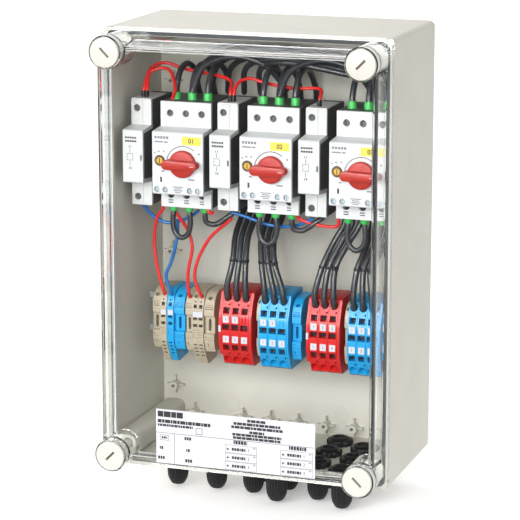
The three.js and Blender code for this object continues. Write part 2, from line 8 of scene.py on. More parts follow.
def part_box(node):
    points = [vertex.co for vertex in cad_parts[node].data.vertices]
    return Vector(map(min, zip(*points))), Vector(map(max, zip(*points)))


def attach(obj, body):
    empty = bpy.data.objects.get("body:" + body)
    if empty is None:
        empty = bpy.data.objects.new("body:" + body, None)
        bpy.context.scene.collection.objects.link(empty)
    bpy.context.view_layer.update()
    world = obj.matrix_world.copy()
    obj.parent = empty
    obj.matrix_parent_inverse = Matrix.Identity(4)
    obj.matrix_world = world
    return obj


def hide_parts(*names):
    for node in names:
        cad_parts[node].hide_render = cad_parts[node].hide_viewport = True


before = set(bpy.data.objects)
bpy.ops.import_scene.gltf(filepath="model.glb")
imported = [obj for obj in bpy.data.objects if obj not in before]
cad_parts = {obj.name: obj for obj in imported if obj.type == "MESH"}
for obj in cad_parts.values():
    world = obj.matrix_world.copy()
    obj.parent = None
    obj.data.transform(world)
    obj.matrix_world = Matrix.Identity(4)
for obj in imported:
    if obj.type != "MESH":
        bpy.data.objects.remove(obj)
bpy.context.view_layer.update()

# Pieces are drawn in millimetres and scaled to metres when they are finished.
# X runs to the right, Y into the wall and Z up, so the front of a thing has the lowest Y.
MM = 0.001
scene = bpy.context.scene


def add_object(name, data):
    added = bpy.data.objects.new(name, data)
    scene.collection.objects.link(added)
    return added


# ---- Camera ----
AZIMUTH = radians(19.058)
ELEVATION = radians(12.895)
SENSOR_WIDTH = 36
FOCAL_LENGTH = SENSOR_WIDTH * 4.480769
camera = add_object("camera", bpy.data.cameras.new("camera"))
camera.location = Vector((0.6245, -1.8986, 0.4287))
forward = Vector((
    -sin(AZIMUTH) * cos(ELEVATION),
    cos(AZIMUTH) * cos(ELEVATION),
    -sin(ELEVATION),
))
camera.rotation_mode = "QUATERNION"
camera.rotation_quaternion = forward.to_track_quat("-Z", "Y")
camera.data.sensor_width = SENSOR_WIDTH
camera.data.lens = FOCAL_LENGTH
scene.camera = camera
scene.view_settings.view_transform = "Standard"


# ---- Materials ----
def linear(rgb):
    """Display colour, 0 to 255, to the linear colour that a shader takes."""
    low = [c / 255 for c in rgb]
    return [c / 12.92 if c <= 0.04045 else ((c + 0.055) / 1.055) ** 2.4 for c in low]


def new_material(name):
    material = bpy.data.materials.new(name)
    material.use_nodes = True
    return material, material.node_tree.nodes, material.node_tree.links


def noise(nodes, links, scale, detail=3.0, stretch=None):
    """Noise over the object's own coordinates, which are metres in the shared frame."""
    place = nodes.new("ShaderNodeTexCoord")
    texture = nodes.new("ShaderNodeTexNoise")
    texture.inputs["Scale"].default_value = scale
    texture.inputs["Detail"].default_value = detail
    source = place.outputs["Object"]
    if stretch:
        mapping = nodes.new("ShaderNodeMapping")
        mapping.inputs["Scale"].default_value = stretch
        links.new(source, mapping.inputs["Vector"])
        source = mapping.outputs["Vector"]
    links.new(source, texture.inputs["Vector"])
    return texture.outputs["Fac"]


def spread(nodes, links, source, low, high):
    """Maps noise to a narrow range."""
    node = nodes.new("ShaderNodeMapRange")
    node.inputs["To Min"].default_value = low
    node.inputs["To Max"].default_value = high
    links.new(source, node.inputs["Value"])
    return node.outputs["Result"]


def plastic(name, rgb, rough=0.45, shade=0.07, grain=0.15, speck=1300, coat=0.0, metal=0.0,
            stretch=None, level=0.5):
    """Moulded plastic, or plated metal: cloudy tone, uneven gloss and a fine moulded grain."""
    material, nodes, links = new_material(name)
    shader = nodes["Principled BSDF"]
    shader.inputs["Metallic"].default_value = metal
    shader.inputs["Coat Weight"].default_value = coat
    shader.inputs["Specular IOR Level"].default_value = level
    colour = linear(rgb)
    tone = nodes.new("ShaderNodeValToRGB")
    for stop, position, factor in zip(tone.color_ramp.elements, (0.3, 0.7), (1 - shade, 1 + shade)):
        stop.position = position
        stop.color = (*[min(1.0, c * factor) for c in colour], 1)
    links.new(noise(nodes, links, 26, 4, stretch), tone.inputs["Fac"])
    links.new(tone.outputs["Color"], shader.inputs["Base Color"])
    wear = noise(nodes, links, 180, 3, stretch)
    gloss = spread(nodes, links, wear, max(0.05, rough - 0.07), min(1.0, rough + 0.07))
    links.new(gloss, shader.inputs["Roughness"])
    bump = nodes.new("ShaderNodeBump")
    bump.inputs["Strength"].default_value = grain
    bump.inputs["Distance"].default_value = 0.00008
    links.new(noise(nodes, links, speck, 2, stretch), bump.inputs["Height"])
    links.new(bump.outputs["Normal"], shader.inputs["Normal"])
    return material


def clear_plastic(name):
    """Clear polycarbonate. Light passes straight through it to what lies behind."""
    material, nodes, links = new_material(name)
    shader = nodes["Principled BSDF"]
    shader.inputs["Transmission Weight"].default_value = 1.0
    shader.inputs["IOR"].default_value = 1.5
    tint = nodes.new("ShaderNodeValToRGB")
    tint.color_ramp.elements[0].color = (0.93, 0.955, 0.96, 1)
    tint.color_ramp.elements[1].color = (0.98, 0.99, 0.99, 1)
    links.new(noise(nodes, links, 9, 2), tint.inputs["Fac"])
    links.new(tint.outputs["Color"], shader.inputs["Base Color"])
    gloss = spread(nodes, links, noise(nodes, links, 60, 2), 0.0, 0.03)
    links.new(gloss, shader.inputs["Roughness"])
    path = nodes.new("ShaderNodeLightPath")
    either = nodes.new("ShaderNodeMath")
    either.operation = "MAXIMUM"
    links.new(path.outputs["Is Shadow Ray"], either.inputs[0])
    links.new(path.outputs["Is Diffuse Ray"], either.inputs[1])
    through = nodes.new("ShaderNodeBsdfTransparent")
    blend = nodes.new("ShaderNodeMixShader")
    links.new(either.outputs["Value"], blend.inputs["Fac"])
    links.new(shader.outputs["BSDF"], blend.inputs[1])
    links.new(through.outputs["BSDF"], blend.inputs[2])
    links.new(blend.outputs["Shader"], nodes["Material Output"].inputs["Surface"])
    return material


CASE = plastic("case_plastic", (206, 203, 192), rough=0.55, shade=0.025, grain=0.3, speck=1500)
CLEAR = clear_plastic("clear_polycarbonate")
SEAL = plastic("seal_foam", (66, 68, 70), rough=0.85, shade=0.15, grain=0.8, speck=2600)
CREAM = plastic("cream_plastic", (200, 197, 188), rough=0.4, shade=0.02)
ZINC = plastic("zinc_plate", (196, 199, 204), rough=0.36, shade=0.1, grain=0.2, metal=0.9,
               stretch=(0.08, 1, 1))
CHARCOAL = plastic("charcoal_plastic", (76, 76, 77), rough=0.5, shade=0.12, grain=0.4)
WHITE = plastic("front_plastic", (211, 212, 213), rough=0.42, shade=0.015, grain=0.12)
PALE_GREY = plastic("release_plastic", (206, 207, 205), shade=0.015, grain=0.12)
RED = plastic("knob_plastic", (166, 32, 19), rough=0.42, shade=0.05, grain=0.12, coat=0.05)
BROWN = plastic("dial_plastic", (96, 74, 34), shade=0.1)
AMBER = plastic("dial_amber", (206, 162, 46), rough=0.4, shade=0.08)
TERMINAL_RED = plastic("red_polyamide", (202, 26, 24), rough=0.4, shade=0.06, coat=0.1)
TERMINAL_BLUE = plastic("blue_polyamide", (24, 156, 214), rough=0.4, shade=0.06, coat=0.1)
TERMINAL_BEIGE = plastic("beige_polyamide", (176, 164, 142), shade=0.05, grain=0.18)
BLACK = plastic("gland_polyamide", (20, 20, 22), rough=0.5, shade=0.15, grain=0.3, level=0.3)
WIRE_BLACK = plastic("wire_black", (46, 47, 51), rough=0.38, shade=0.15, coat=0.2)
WIRE_RED = plastic("wire_red", (214, 34, 34), rough=0.38, shade=0.08, grain=0.12, coat=0.2)
WIRE_BLUE = plastic("wire_blue", (22, 100, 166), rough=0.38, shade=0.08, grain=0.12, coat=0.2)
GREEN = plastic("ferrule_green", (62, 178, 84), rough=0.4, shade=0.08)
PAPER = plastic("label_paper", (203, 203, 209), rough=0.5, shade=0.01, grain=0.08)
# Printed marks, and painted shade on the floor of each dial's slot.
INK_AND_SLOT_SHADE = plastic("print_ink_and_slot_shade", (36, 36, 40), rough=0.6, shade=0.1, grain=0.1)
FAINT_INK = plastic("faint_ink", (120, 122, 128), rough=0.6, shade=0.08, grain=0.1)
YELLOW = plastic("yellow_tag", (224, 206, 78), shade=0.03, grain=0.08)
# Steel darkened with painted shade, for the screws and springs deep in holes and pits; the well screws are
# the same steel without it.
SCREW = plastic("screw_steel_painted_shade", (74, 80, 88), rough=0.34, shade=0.15, grain=0.25, metal=0.7)
PALE_SCREW = plastic("well_screw", (176, 188, 194), rough=0.4, shade=0.12, grain=0.2, metal=0.3)
# Painted shade on a fastener's slot floor; also the colour of the ticks printed round the slot.
SLOT_SHADE_AND_PRINT = plastic("slot_shade_and_print", (112, 98, 86), rough=0.6, shade=0.1)
# Painted shade: dark sheets set at the backs of holes, slots and pits, where shade falls.
HOLE_SHADE = plastic("recess_painted_shade", (20, 20, 22), rough=0.7, shade=0.2, grain=0.2)


# ---- Mesh helpers ----
def span(middle, half):
    return (middle - half, middle + half)


def box(bm, x, y, z):
    """A closed block between two limits on each axis."""
    points = [bm.verts.new((a, b, c)) for a in x for b in y for c in z]
    for face in ((0, 1, 3, 2), (4, 6, 7, 5), (0, 4, 5, 1), (2, 3, 7, 6), (0, 2, 6, 4), (1, 5, 7, 3)):
        bm.faces.new([points[i] for i in face])


def prism(bm, outline, x0, x1, z=0.0):
    """An outline of (y, z) points drawn out along X."""
    ends = [[bm.verts.new((x, a, b + z)) for a, b in outline] for x in (x0, x1)]
    count = len(outline)
    bm.faces.new(ends[0])
    bm.faces.new(ends[1][::-1])
    for i in range(count):
        j = (i + 1) % count
        bm.faces.new((ends[0][i], ends[0][j], ends[1][j], ends[1][i]))


def skin(bm, rings):
    """A closed solid through rings of equal length, capped at both ends."""
    drawn = [[bm.verts.new(p) for p in ring] for ring in rings]
    count = len(rings[0])
    for a, b in zip(drawn, drawn[1:]):
        for i in range(count):
            j = (i + 1) % count
            bm.faces.new((a[i], a[j], b[j], b[i]))
    bm.faces.new(drawn[0][::-1])
    bm.faces.new(drawn[-1])


def facing(x, y, z):
    """A place whose own Z points out of the front, its X to the right and its Y up."""
    return Matrix.Translation((x, y, z)) @ Matrix.Rotation(radians(90), 4, "X")


def upright(x, y, z):
    return Matrix.Translation((x, y, z))


def tilted(x, y, z, angle):
    """A place whose Z leans forwards from upright by an angle."""
    return Matrix.Translation((x, y, z)) @ Matrix.Rotation(angle, 4, "X")


def around(count):
    """Angles of a full turn in equal steps."""
    return [2 * pi * i / count for i in range(count)]


def turned(bm, profile, place, sides=40):
    """A solid of revolution about the place's Z. The profile is (radius, height) pairs."""
    skin(bm, [[place @ Vector((radius * cos(t), radius * sin(t), height)) for t in around(sides)]
              for radius, height in profile])


def rounded_ring(half_x, half_z, radius, y, steps=10):
    ring = []
    for sx, sz, start in ((1, 1, 0), (-1, 1, 90), (-1, -1, 180), (1, -1, 270)):
        for i in range(steps + 1):
            t = radians(start + 90 * i / steps)
            ring.append((
                sx * (half_x - radius) + radius * cos(t),
                y,
                sz * (half_z - radius) + radius * sin(t),
            ))
    return ring


def smooth_route(points, step=2.0):
    """Centripetal Catmull-Rom curve, sampled at about a step in millimetres."""
    p = [Vector(q) for q in points]
    p = [2 * p[0] - p[1], *p, 2 * p[-1] - p[-2]]
    route = []
    for a, b, c, d in zip(p, p[1:], p[2:], p[3:]):
        t0 = 0.0
        t1 = t0 + max(1e-4, sqrt((b - a).length))
        t2 = t1 + max(1e-4, sqrt((c - b).length))
        t3 = t2 + max(1e-4, sqrt((d - c).length))
        count = max(2, int((c - b).length / step))
        for i in range(count):
            t = t1 + (t2 - t1) * i / count
            a1 = a.lerp(b, (t - t0) / (t1 - t0))
            a2 = b.lerp(c, (t - t1) / (t2 - t1))
            a3 = c.lerp(d, (t - t2) / (t3 - t2))
            b1 = a1.lerp(a2, (t - t0) / (t2 - t0))
            b2 = a2.lerp(a3, (t - t1) / (t3 - t1))
            route.append(b1.lerp(b2, (t - t1) / (t2 - t1)))
    route.append(p[-2])
    return route


def tube(bm, points, radius, sides=14, step=2.0):
    """A round wire along a smooth route, with rounded-off ends."""
    route = smooth_route(points, step)
    tangent = (route[1] - route[0]).normalized()
    normal = tangent.orthogonal().normalized()
    rings = []
    last = len(route) - 1
    for i, at in enumerate(route):
        ahead = (route[min(i + 1, last)] - route[max(i - 1, 0)]).normalized()
        normal = (normal - ahead * normal.dot(ahead)).normalized()
        side = ahead.cross(normal)
        r = radius * (0.8 if i in (0, last) else 1)
        rings.append([at + r * (cos(t) * normal + sin(t) * side) for t in around(sides)])
    skin(bm, rings)


def lettering(bm, text, size, place, depth=0.05, bold=0.0):
    """Numbers as thin raised print. Place is the middle of the text."""
    curve = bpy.data.curves.new("print_draft", "FONT")
    curve.body = text
    curve.size = size
    curve.align_x = "CENTER"
    curve.align_y = "CENTER"
    curve.extrude = depth
    curve.offset = bold
    holder = add_object("print_draft", curve)
    bpy.context.view_layer.update()
    mesh = bpy.data.meshes.new_from_object(holder.evaluated_get(bpy.context.evaluated_depsgraph_get()))
    mesh.transform(place)
    bm.from_mesh(mesh)
    bpy.data.objects.remove(holder)
    bpy.data.curves.remove(curve)
    bpy.data.meshes.remove(mesh)


def combined(base, tool, operation="DIFFERENCE"):
    """Cuts the tool's solids from the base, or joins them to it. Both drafts are used up."""
    holders = []
    for name, bm in (("draft_base", base), ("draft_tool", tool)):
        bmesh.ops.recalc_face_normals(bm, faces=bm.faces)
        mesh = bpy.data.meshes.new(name)
        bm.to_mesh(mesh)
        bm.free()
        holders.append(add_object(name, mesh))
    modifier = holders[0].modifiers.new("combine", "BOOLEAN")
    modifier.operation = operation
    modifier.solver = "EXACT"
    modifier.use_self = True
    modifier.object = holders[1]
    bpy.context.view_layer.update()
    mesh = bpy.data.meshes.new_from_object(holders[0].evaluated_get(bpy.context.evaluated_depsgraph_get()))
    result = bmesh.new()
    result.from_mesh(mesh)
    for holder in holders:
        data = holder.data
        bpy.data.objects.remove(holder)
        bpy.data.meshes.remove(data)
    bpy.data.meshes.remove(mesh)
    bmesh.ops.remove_doubles(result, verts=result.verts, dist=0.0005)
    bmesh.ops.dissolve_limit(result, angle_limit=radians(0.5), verts=result.verts, edges=result.edges)
    return result


def place_copy(bm, source, offset):
    """Adds a copy of a finished draft mesh to another draft, moved by an offset."""
    mesh = bpy.data.meshes.new("draft_copy")
    source.to_mesh(mesh)
    mesh.transform(Matrix.Translation(offset))
    bm.from_mesh(mesh)
    bpy.data.meshes.remove(mesh)


def finish_piece(name, bm, material, slot, body="enclosure", replaces=(), bevel=0.0, smooth=35):
    """Turns a draft in millimetres into a piece that rides on a body."""
    bmesh.ops.recalc_face_normals(bm, faces=bm.faces)
    bmesh.ops.scale(bm, vec=(MM, MM, MM), verts=bm.verts)
    mesh = bpy.data.meshes.new(name)
    bm.to_mesh(mesh)
    bm.free()
    mesh.shade_smooth()
    mesh.set_sharp_from_angle(angle=radians(smooth))
    mesh.materials.append(material)
    piece = add_object(name, mesh)
    if bevel:
        modifier = piece.modifiers.new("edges", "BEVEL")
        modifier.width = bevel * MM
        modifier.segments = 2
        modifier.limit_method = "ANGLE"
        modifier.angle_limit = radians(smooth)
        modifier.harden_normals = True
    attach(piece, body)
    if replaces:
        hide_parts(*replaces)
    return piece


# ---- Carried-over CAD nodes: material, smooth shading and softened edges ----
def dress(node, material, bevel=0.0):
    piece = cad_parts[node]
    mesh = piece.data
    mesh.materials.clear()
    mesh.materials.append(material)
    if "custom_normal" in mesh.attributes:
        mesh.attributes.remove(mesh.attributes["custom_normal"])
    mesh.shade_smooth()
    weld = piece.modifiers.new("weld", "WELD")
    weld.merge_threshold = 2e-6
    if bevel:
        flat = piece.modifiers.new("flat", "DECIMATE")
        flat.decimate_type = "DISSOLVE"
        flat.angle_limit = radians(0.5)
        edges = piece.modifiers.new("edges", "BEVEL")
        edges.width = bevel * MM
        edges.segments = 2
        edges.limit_method = "ANGLE"
        edges.angle_limit = radians(35)
        normals = piece.modifiers.new("normals", "WEIGHTED_NORMAL")
        normals.weight = 100
    else:
        split = piece.modifiers.new("split", "EDGE_SPLIT")
        split.split_angle = radians(30)
        split.use_edge_sharp = False


# ---- Places, in millimetres ----
UPPER_Z = 77.5
LOWER_Z = -73.5
SWITCH_PITCH = 77.4
SWITCH_X = [13.4 + SWITCH_PITCH * i for i in (-1, 0, 1)]
RELEASE_SHIFT = -40.1
# Places on a switch's front, from its middle.
POLES = (-14.1, 0.0, 14.1)
POLE_SCREW_Z = 35.2
WELLS = (-18.6, -11.1, 10.6, 18.0)
WELL_Z = -26.4
KNOB_X, KNOB_Z = 5, -3.6
DIAL_X, DIAL_Z = -15.9, -2
# A device's front plate, and the steps above and below it. Ink stands a hair in front.
PLATE_Y, STEP_Y = -115.0, -95.0
PLATE_INK = (PLATE_Y - 0.06, PLATE_Y + 0.02)
STEP_INK = (STEP_Y - 0.06, STEP_Y + 0.02)
KNOCKOUTS = ((-84, -165), (-55.7, -165), (46, -165))
FASTENER_X, FASTENER_Z = 108.5, 171
CORNERS = {"top_left": (-1, 1), "top_right": (1, 1), "bottom_left": (-1, -1), "bottom_right": (1, -1)}
COVER_FRONT = -155.0

dress("enclosure_base", CASE)
dress("cover_gasket", SEAL)
dress("upper_rail", ZINC)
dress("lower_rail", ZINC)
for i in (1, 2, 3):
    dress(f"switch_{i}_base", CHARCOAL, bevel=0.3)
    dress(f"release_{i}_base", CHARCOAL, bevel=0.3)


# ---- Clear cover with its four collars ----
def make_cover():
    """Each ring gives half the width, half the height, the corner radius and the depth."""
    outside = bmesh.new()
    skin(outside, [
        rounded_ring(117.5, 174, 7, COVER_FRONT),
        rounded_ring(118.6, 175.1, 8.1, -154.6),
        rounded_ring(119, 175.5, 8.5, -153.5),
        rounded_ring(119.9, 178.6, 8.6, -131.4),
        rounded_ring(120.3, 179.2, 8.8, -131),
        rounded_ring(124.4, 186.9, 4.6, -131),
        rounded_ring(125, 187.5, 5, -130.4),
        rounded_ring(125, 187.5, 5, -125.3),
    ])
    hollow = bmesh.new()
    skin(hollow, [
        rounded_ring(115.2, 171.7, 5.2, -152),
        rounded_ring(116, 172.5, 6, -151.3),
        rounded_ring(116.9, 175.9, 5.8, -128.5),
        rounded_ring(116.9, 175.9, 5.8, -120),
    ])
    shell = combined(outside, hollow)
    channel = bmesh.new()
    skin(channel, [rounded_ring(122.6, 185.1, 7, -128.5), rounded_ring(122.6, 185.1, 7, -120)])
    shell = combined(shell, channel)
    collars = bmesh.new()
    bores = bmesh.new()
    for sx, sz in CORNERS.values():
        x, z = FASTENER_X * sx, FASTENER_Z * sz
        turned(collars, [(13.4, 163.5), (14, 163), (14, 129)], facing(x, 0, z), 72)
        turned(bores, [(12.8, 170), (12.8, 156)], facing(x, 0, z), 72)
        turned(bores, [(12.8, 153), (12.8, 120)], facing(x, 0, z), 72)
        turned(bores, [(4.2, 158), (4.2, 150)], facing(x, 0, z), 32)
    shell = combined(shell, collars, "UNION")
    shell = combined(shell, bores)
    finish_piece("clear_cover", shell, CLEAR, "clear_cover", "cover", ("front_cover",), smooth=28)


make_cover()


# ---- Quarter-turn fasteners ----
def make_fastener(corner, sx, sz):
    x, z = FASTENER_X * sx, FASTENER_Z * sz
    place = facing(x, 0, z)
    turn = Matrix.Rotation(radians(45 * sx * sz), 4, "Z")
    face = 164.5
    cap = bmesh.new()
    profile = [(3.6, 108), (3.6, 156.3), (12.3, 156.3), (12.3, face - 0.7), (12.1, face - 0.2), (11.6, face)]
    turned(cap, profile, place, 72)
    slot = bmesh.new()
    box(slot, (-5.2, 5.2), (-1, 1), (face - 2.6, 168))
    bmesh.ops.transform(slot, matrix=place @ turn, verts=slot.verts)
    cap = combined(cap, slot)
    finish_piece("fastener_" + corner, cap, CREAM, "fastener_cap", "fastener_" + corner,
                 ("cover_fastener_" + corner,), smooth=40)

    # The slot's floor, dark with painted shade, then an arc of printed ticks and an arrowhead that show which
    # way it turns.
    mark = bmesh.new()
    ink = (face - 0.2, face - 0.01)
    box(mark, (-5.1, 5.1), (-0.9, 0.9), (face - 2.6, face - 2.4))
    for i in range(9):
        angle = radians(-30 + 7.5 * i)
        u, v = 8.8 * cos(angle), 8.8 * sin(angle)
        box(mark, span(u, 0.28), span(v, 0.62), ink)
    for i in range(5):
        half = 0.9 - 0.22 * i
        box(mark, (-9.4 + 0.45 * i, -9.0 + 0.45 * i), (-half, half), ink)
    bmesh.ops.transform(mark, matrix=place @ turn, verts=mark.verts)
    finish_piece("fastener_mark_" + corner, mark, SLOT_SHADE_AND_PRINT, "fastener_cap", "fastener_" + corner)


for corner, (sx, sz) in CORNERS.items():
    make_fastener(corner, sx, sz)


# ---- Label on the cover: a plain form with bars in place of words ----
def make_label():
    left, top, width, height = -70.0, -128.0, 140.0, 47.0
    paper_face = COVER_FRONT - 0.3
    row_pitch = 7.3
    paper = bmesh.new()
    box(paper, (left, left + width), (paper_face, COVER_FRONT), (top - height, top))
    finish_piece("form_label", paper, PAPER, "device_front", "cover", bevel=0.08)
    strong, faint = bmesh.new(), bmesh.new()

    def bar(bm, u0, u1, v0, v1):
        """A bar of ink, measured right and down from the label's top left corner."""
        box(bm, (left + u0, left + u1), (paper_face - 0.06, paper_face + 0.02), (top - v1, top - v0))

    def words(u0, u1, v0, v1, pattern):
        """A line of bars that stand where words would."""
        u, i = u0, 0
        while u < u1:
            end = min(u1, u + pattern[i % len(pattern)])
            bar(strong, u, end, v0, v1)
            u, i = end + 0.45, i + 1

    def frame_line(u0, u1, v0, v1, t=0.3):
        bar(faint, u0, u1, v0, v0 + t)
        bar(faint, u0, u1, v1 - t, v1)
        bar(faint, u0, u0 + t, v0, v1)
        bar(faint, u1 - t, u1, v0, v1)

    words(1.6, 24.5, 1.6, 6.6, (5.0, 6.2, 4.4, 5.6))
    words(1.6, 49, 8.8, 11.7, (3.4, 2.2, 4.6, 1.6))
    words(1.6, 33, 12.7, 14.8, (1.4, 2.2, 3.2, 1.6))
    frame_line(35.5, 41.5, 13.4, 19.2, 0.6)
    bar(faint, 0, width, 20.2, 20.7)
    bar(faint, 16.2, 16.7, 20.4, height)
    for u0, u1, v0, v1 in ((81, 97, 1.8, 4.1), (69, 110, 4.9, 7.2), (67, 112, 8.0, 10.3),
                           (83, 96, 11.7, 13.9), (68, 111, 14.4, 16.6), (68.5, 110.5, 17.2, 19.4)):
        words(u0, u1, v0, v1, (2.6, 4.4, 3.2, 5.2, 1.8))
    frame_line(3.4, 11.6, 22.2, 27.0, 0.45)
    words(5, 10, 23.6, 25.5, (1.4, 1.8))
    words(3.2, 6.4, 32.3, 34.9, (1.0, 1.6))
    words(1.6, 7.6, 41.0, 43.6, (1.8, 1.6, 1.8))
    words(25.5, 31.5, 22.3, 25.0, (1.6, 1.6, 1.8))
    words(27, 30.2, 32.6, 35.2, (0.9, 1.8))
    words(26, 32.2, 41.6, 44.4, (1.8, 1.6, 1.8))
    for first, title in ((61.5, (69, 81)), (110, (117.5, 132.5))):
        words(title[0], title[1], 20.9, 24.0, (1.2, 2.0, 2.0, 2.2, 1.8))
        for row in range(3):
            v = 25 + row_pitch * row
            frame_line(first, first + 28, v, v + row_pitch - 0.3, 0.35)
            # A plus sign.
            bar(strong, first + 1.2, first + 3.6, v + 3.5, v + 4.2)
            bar(strong, first + 2.05, first + 2.75, v + 2.65, v + 5.05)
            words(first + 6, first + 18, v + 2.4, v + 4.9, (1.8, 1.8, 2.0, 0.9, 2.1))
            place = facing(left + first + 20.6, paper_face - 0.03, top - v - row_pitch / 2)
            lettering(strong, str(row + 1), 3.7, place)
            bar(strong, first + 24.6, first + 26.8, v + 1.2, v + 1.8)
    finish_piece("form_print_dark", strong, INK_AND_SLOT_SHADE, "gasket", "cover")
    finish_piece("form_print_light", faint, FAINT_INK, "gasket", "cover")


make_label()


def stadium(*ends):
    """An outline with a round end at each of two places. An end is its place, radius and first angle."""
    outline = []
    for place, radius, start in ends:
        for k in range(9):
            t = radians(start + 180 * k / 8)
            outline.append((place + radius * cos(t), radius * sin(t)))
    return outline


# ---- Switches and releases ----
def stepped_outline(inset, plate_bottom, half=45.0):
    """The (y, z) outline of a device's front, set back by an inset."""
    plate, step = PLATE_Y + inset, STEP_Y + inset
    top, bottom = 22.5 - inset, plate_bottom + inset
    return [
        (step, half), (step, top + 1.5), (plate + 1, top), (plate, top - 1),
        (plate, bottom + 1), (plate + 1, bottom), (step, bottom - 1.5), (step, -half),
    ]


def front_shell(width, plate_bottom):
    """A hollow front moulding, 3 mm thick, drawn about the middle of its device."""
    outer = stepped_outline(0, plate_bottom)
    inner = stepped_outline(3, plate_bottom)[::-1]
    bm = bmesh.new()
    prism(bm, outer + inner, -width / 2, width / 2)
    return bm


def moved(bm, x, z):
    """The same draft, moved sideways and up."""
    bmesh.ops.translate(bm, vec=(x, 0, z), verts=bm.verts)
    return bm


def on_rail(name, bm, x, material, slot, **more):
    """Finishes a part of an upper device that was drawn about the device's middle."""
    finish_piece(name, moved(bm, x, UPPER_Z), material, slot, **more)


def through(bm, radius, x, z, sides=28):
    turned(bm, [(radius, 117), (radius, 91)], facing(x, 0, z), sides)


def half_round(bm, x, z, radius, y0, y1, steps=14):
    """A D-shaped bar, flat side up."""
    angles = [pi * (1 + i / steps) for i in range(steps + 1)]
    ring = [(x + radius * cos(t), z + radius * sin(t)) for t in angles]
    skin(bm, [[(a, y, b) for a, b in ring] for y in (y0, y1)])


def make_screws(name, x, places, profile, reach, material, sides=28):
    """Cross-slot screws seen down their holes. The reach is half the length of a slot."""
    depth = profile[-1][1]
    screws, slots = bmesh.new(), bmesh.new()
    for u, z in places:
        turned(screws, profile, facing(u, 0, z), sides)
        for wide, high in ((reach, 0.35), (0.35, reach)):
            box(slots, span(u, wide), (-depth - 1, -depth + 1), span(z, high))
    screws = combined(screws, slots)
    on_rail(name, screws, x, material, "zinc_rail")


def make_switch(index, x):
    name = f"switch_{index}"
    cutter = bmesh.new()
    for pole in POLES:
        # A screw hole above and a D-shaped wire entry below.
        through(cutter, 3.05, pole, POLE_SCREW_Z)
        half_round(cutter, pole + 0.2, -34.4, 3.15, -97, -91)
        box(cutter, (pole - 2.95, pole + 3.35), (-97, -91), (-34.5, -33.2))
    for well in WELLS:
        through(cutter, 2.6, well, WELL_Z)
    through(cutter, 4.5, KNOB_X, KNOB_Z)
    through(cutter, 4.75, DIAL_X, DIAL_Z)
    # The test slot, then the joints of the small cover and of the upper terminals.
    box(cutter, (-15.7, -13.9), (-117, -110), (-20.2, -15.8))
    box(cutter, (15.55, 15.75), (-97, -94.4), (-46, -33))
    box(cutter, (-22.6, 22.6), (-97, -94.6), (28.6, 28.8))
    shell = combined(front_shell(45, -30.5), cutter)
    on_rail(f"{name}_front_moulding", shell, x, WHITE, "device_front",
            replaces=(f"{name}_front",), bevel=0.35)

    plate = bmesh.new()
    box(plate, (4.2, 20.7), (PLATE_Y - 0.35, PLATE_Y), (12.3, 19.4))
    on_rail(f"{name}_tag", plate, x, YELLOW, "device_front", bevel=0.15)

    ink = bmesh.new()
    lettering(ink, f"0{index}", 5.2, facing(12.4, PLATE_Y - 0.37, 15.7), bold=0.12)
    # The arc above the knob, in short straight bars.
    arc_radius = 14.7
    for i in range(26):
        angle = radians(168 - 4.6 * i)
        centre = Vector((KNOB_X + arc_radius * cos(angle), 0, KNOB_Z + arc_radius * sin(angle)))
        bar = bmesh.new()
        box(bar, (-0.62, 0.62), PLATE_INK, (-0.3, 0.3))
        spin = Matrix.Rotation(-(angle + pi / 2), 4, "Y")
        bmesh.ops.transform(bar, matrix=spin, verts=bar.verts)
        place_copy(ink, bar, centre)
        bar.free()
    turned(ink, [(0.7, 0), (0.7, 0.06)], facing(19.0, PLATE_Y, 5.2), 16)
    for pole in POLES:
        for z in (-41.6, -39.6):
            box(ink, (pole - 2.0, pole + 2.4), STEP_INK, (z, z + 0.9))
    on_rail(f"{name}_print", ink, x, INK_AND_SLOT_SHADE, "gasket")

    faint = bmesh.new()
    for k in range(5):
        box(faint, (-20.4 + 2.6 * k, -18.4 + 2.6 * k), PLATE_INK, (16.6, 18.8))
    for u0, u1, z in ((-20.4, -12.6, 13.4), (-11.8, -8.6, 13.4), (-17.6, -15.8, 5.2),
                      (-20.9, -19.6, 4.0), (-12.9, -11.6, 5.4), (-14.4, -11.8, -11.4), (9.6, 15.2, -17.4)):
        box(faint, (u0, u1), PLATE_INK, (z, z + 1.2))
    for row, half in ((-24.0, 4.6), (-25.5, 3.2), (-27.0, 4.2), (-28.5, 2.6)):
        box(faint, (-half + 0.2, half + 0.2), PLATE_INK, (row, row + 0.8))
    on_rail(f"{name}_print_light", faint, x, FAINT_INK, "gasket")

    poles = [(pole, POLE_SCREW_Z) for pole in POLES]
    wells = [(well, WELL_Z) for well in WELLS]
    deep = [(2.7, 85.6), (2.7, 89.1), (2.3, 89.6)]
    shallow = [(2.45, 109.3), (2.45, 112.8), (2.05, 113.3)]
    # The deep pole screws take steel darkened with painted shade; the well screws don't.
    make_screws(f"{name}_screws", x, poles, deep, 1.8, SCREW)
    make_screws(f"{name}_well_screws", x, wells, shallow, 1.8, PALE_SCREW)

    # Painted shade at the back of each wire entry and of the test slot.
    pockets = bmesh.new()
    for pole in POLES:
        box(pockets, (pole - 3.4, pole + 3.6), (-92.6, -91.4), (-38, -33))
    box(pockets, (-16, -13.6), (-112.2, -111.5), (-20.5, -15.5))
    on_rail(f"{name}_pockets", pockets, x, HOLE_SHADE, "device_body")

    grey = bmesh.new()
    box(grey, (15.8, 22.3), (STEP_Y - 0.5, STEP_Y), (-44.8, -33))
    on_rail(f"{name}_aux_cover", grey, x, PALE_GREY, "device_front", bevel=0.2)

    make_knob(index, x + KNOB_X, UPPER_Z + KNOB_Z)
    make_dial(index, x + DIAL_X, UPPER_Z + DIAL_Z)


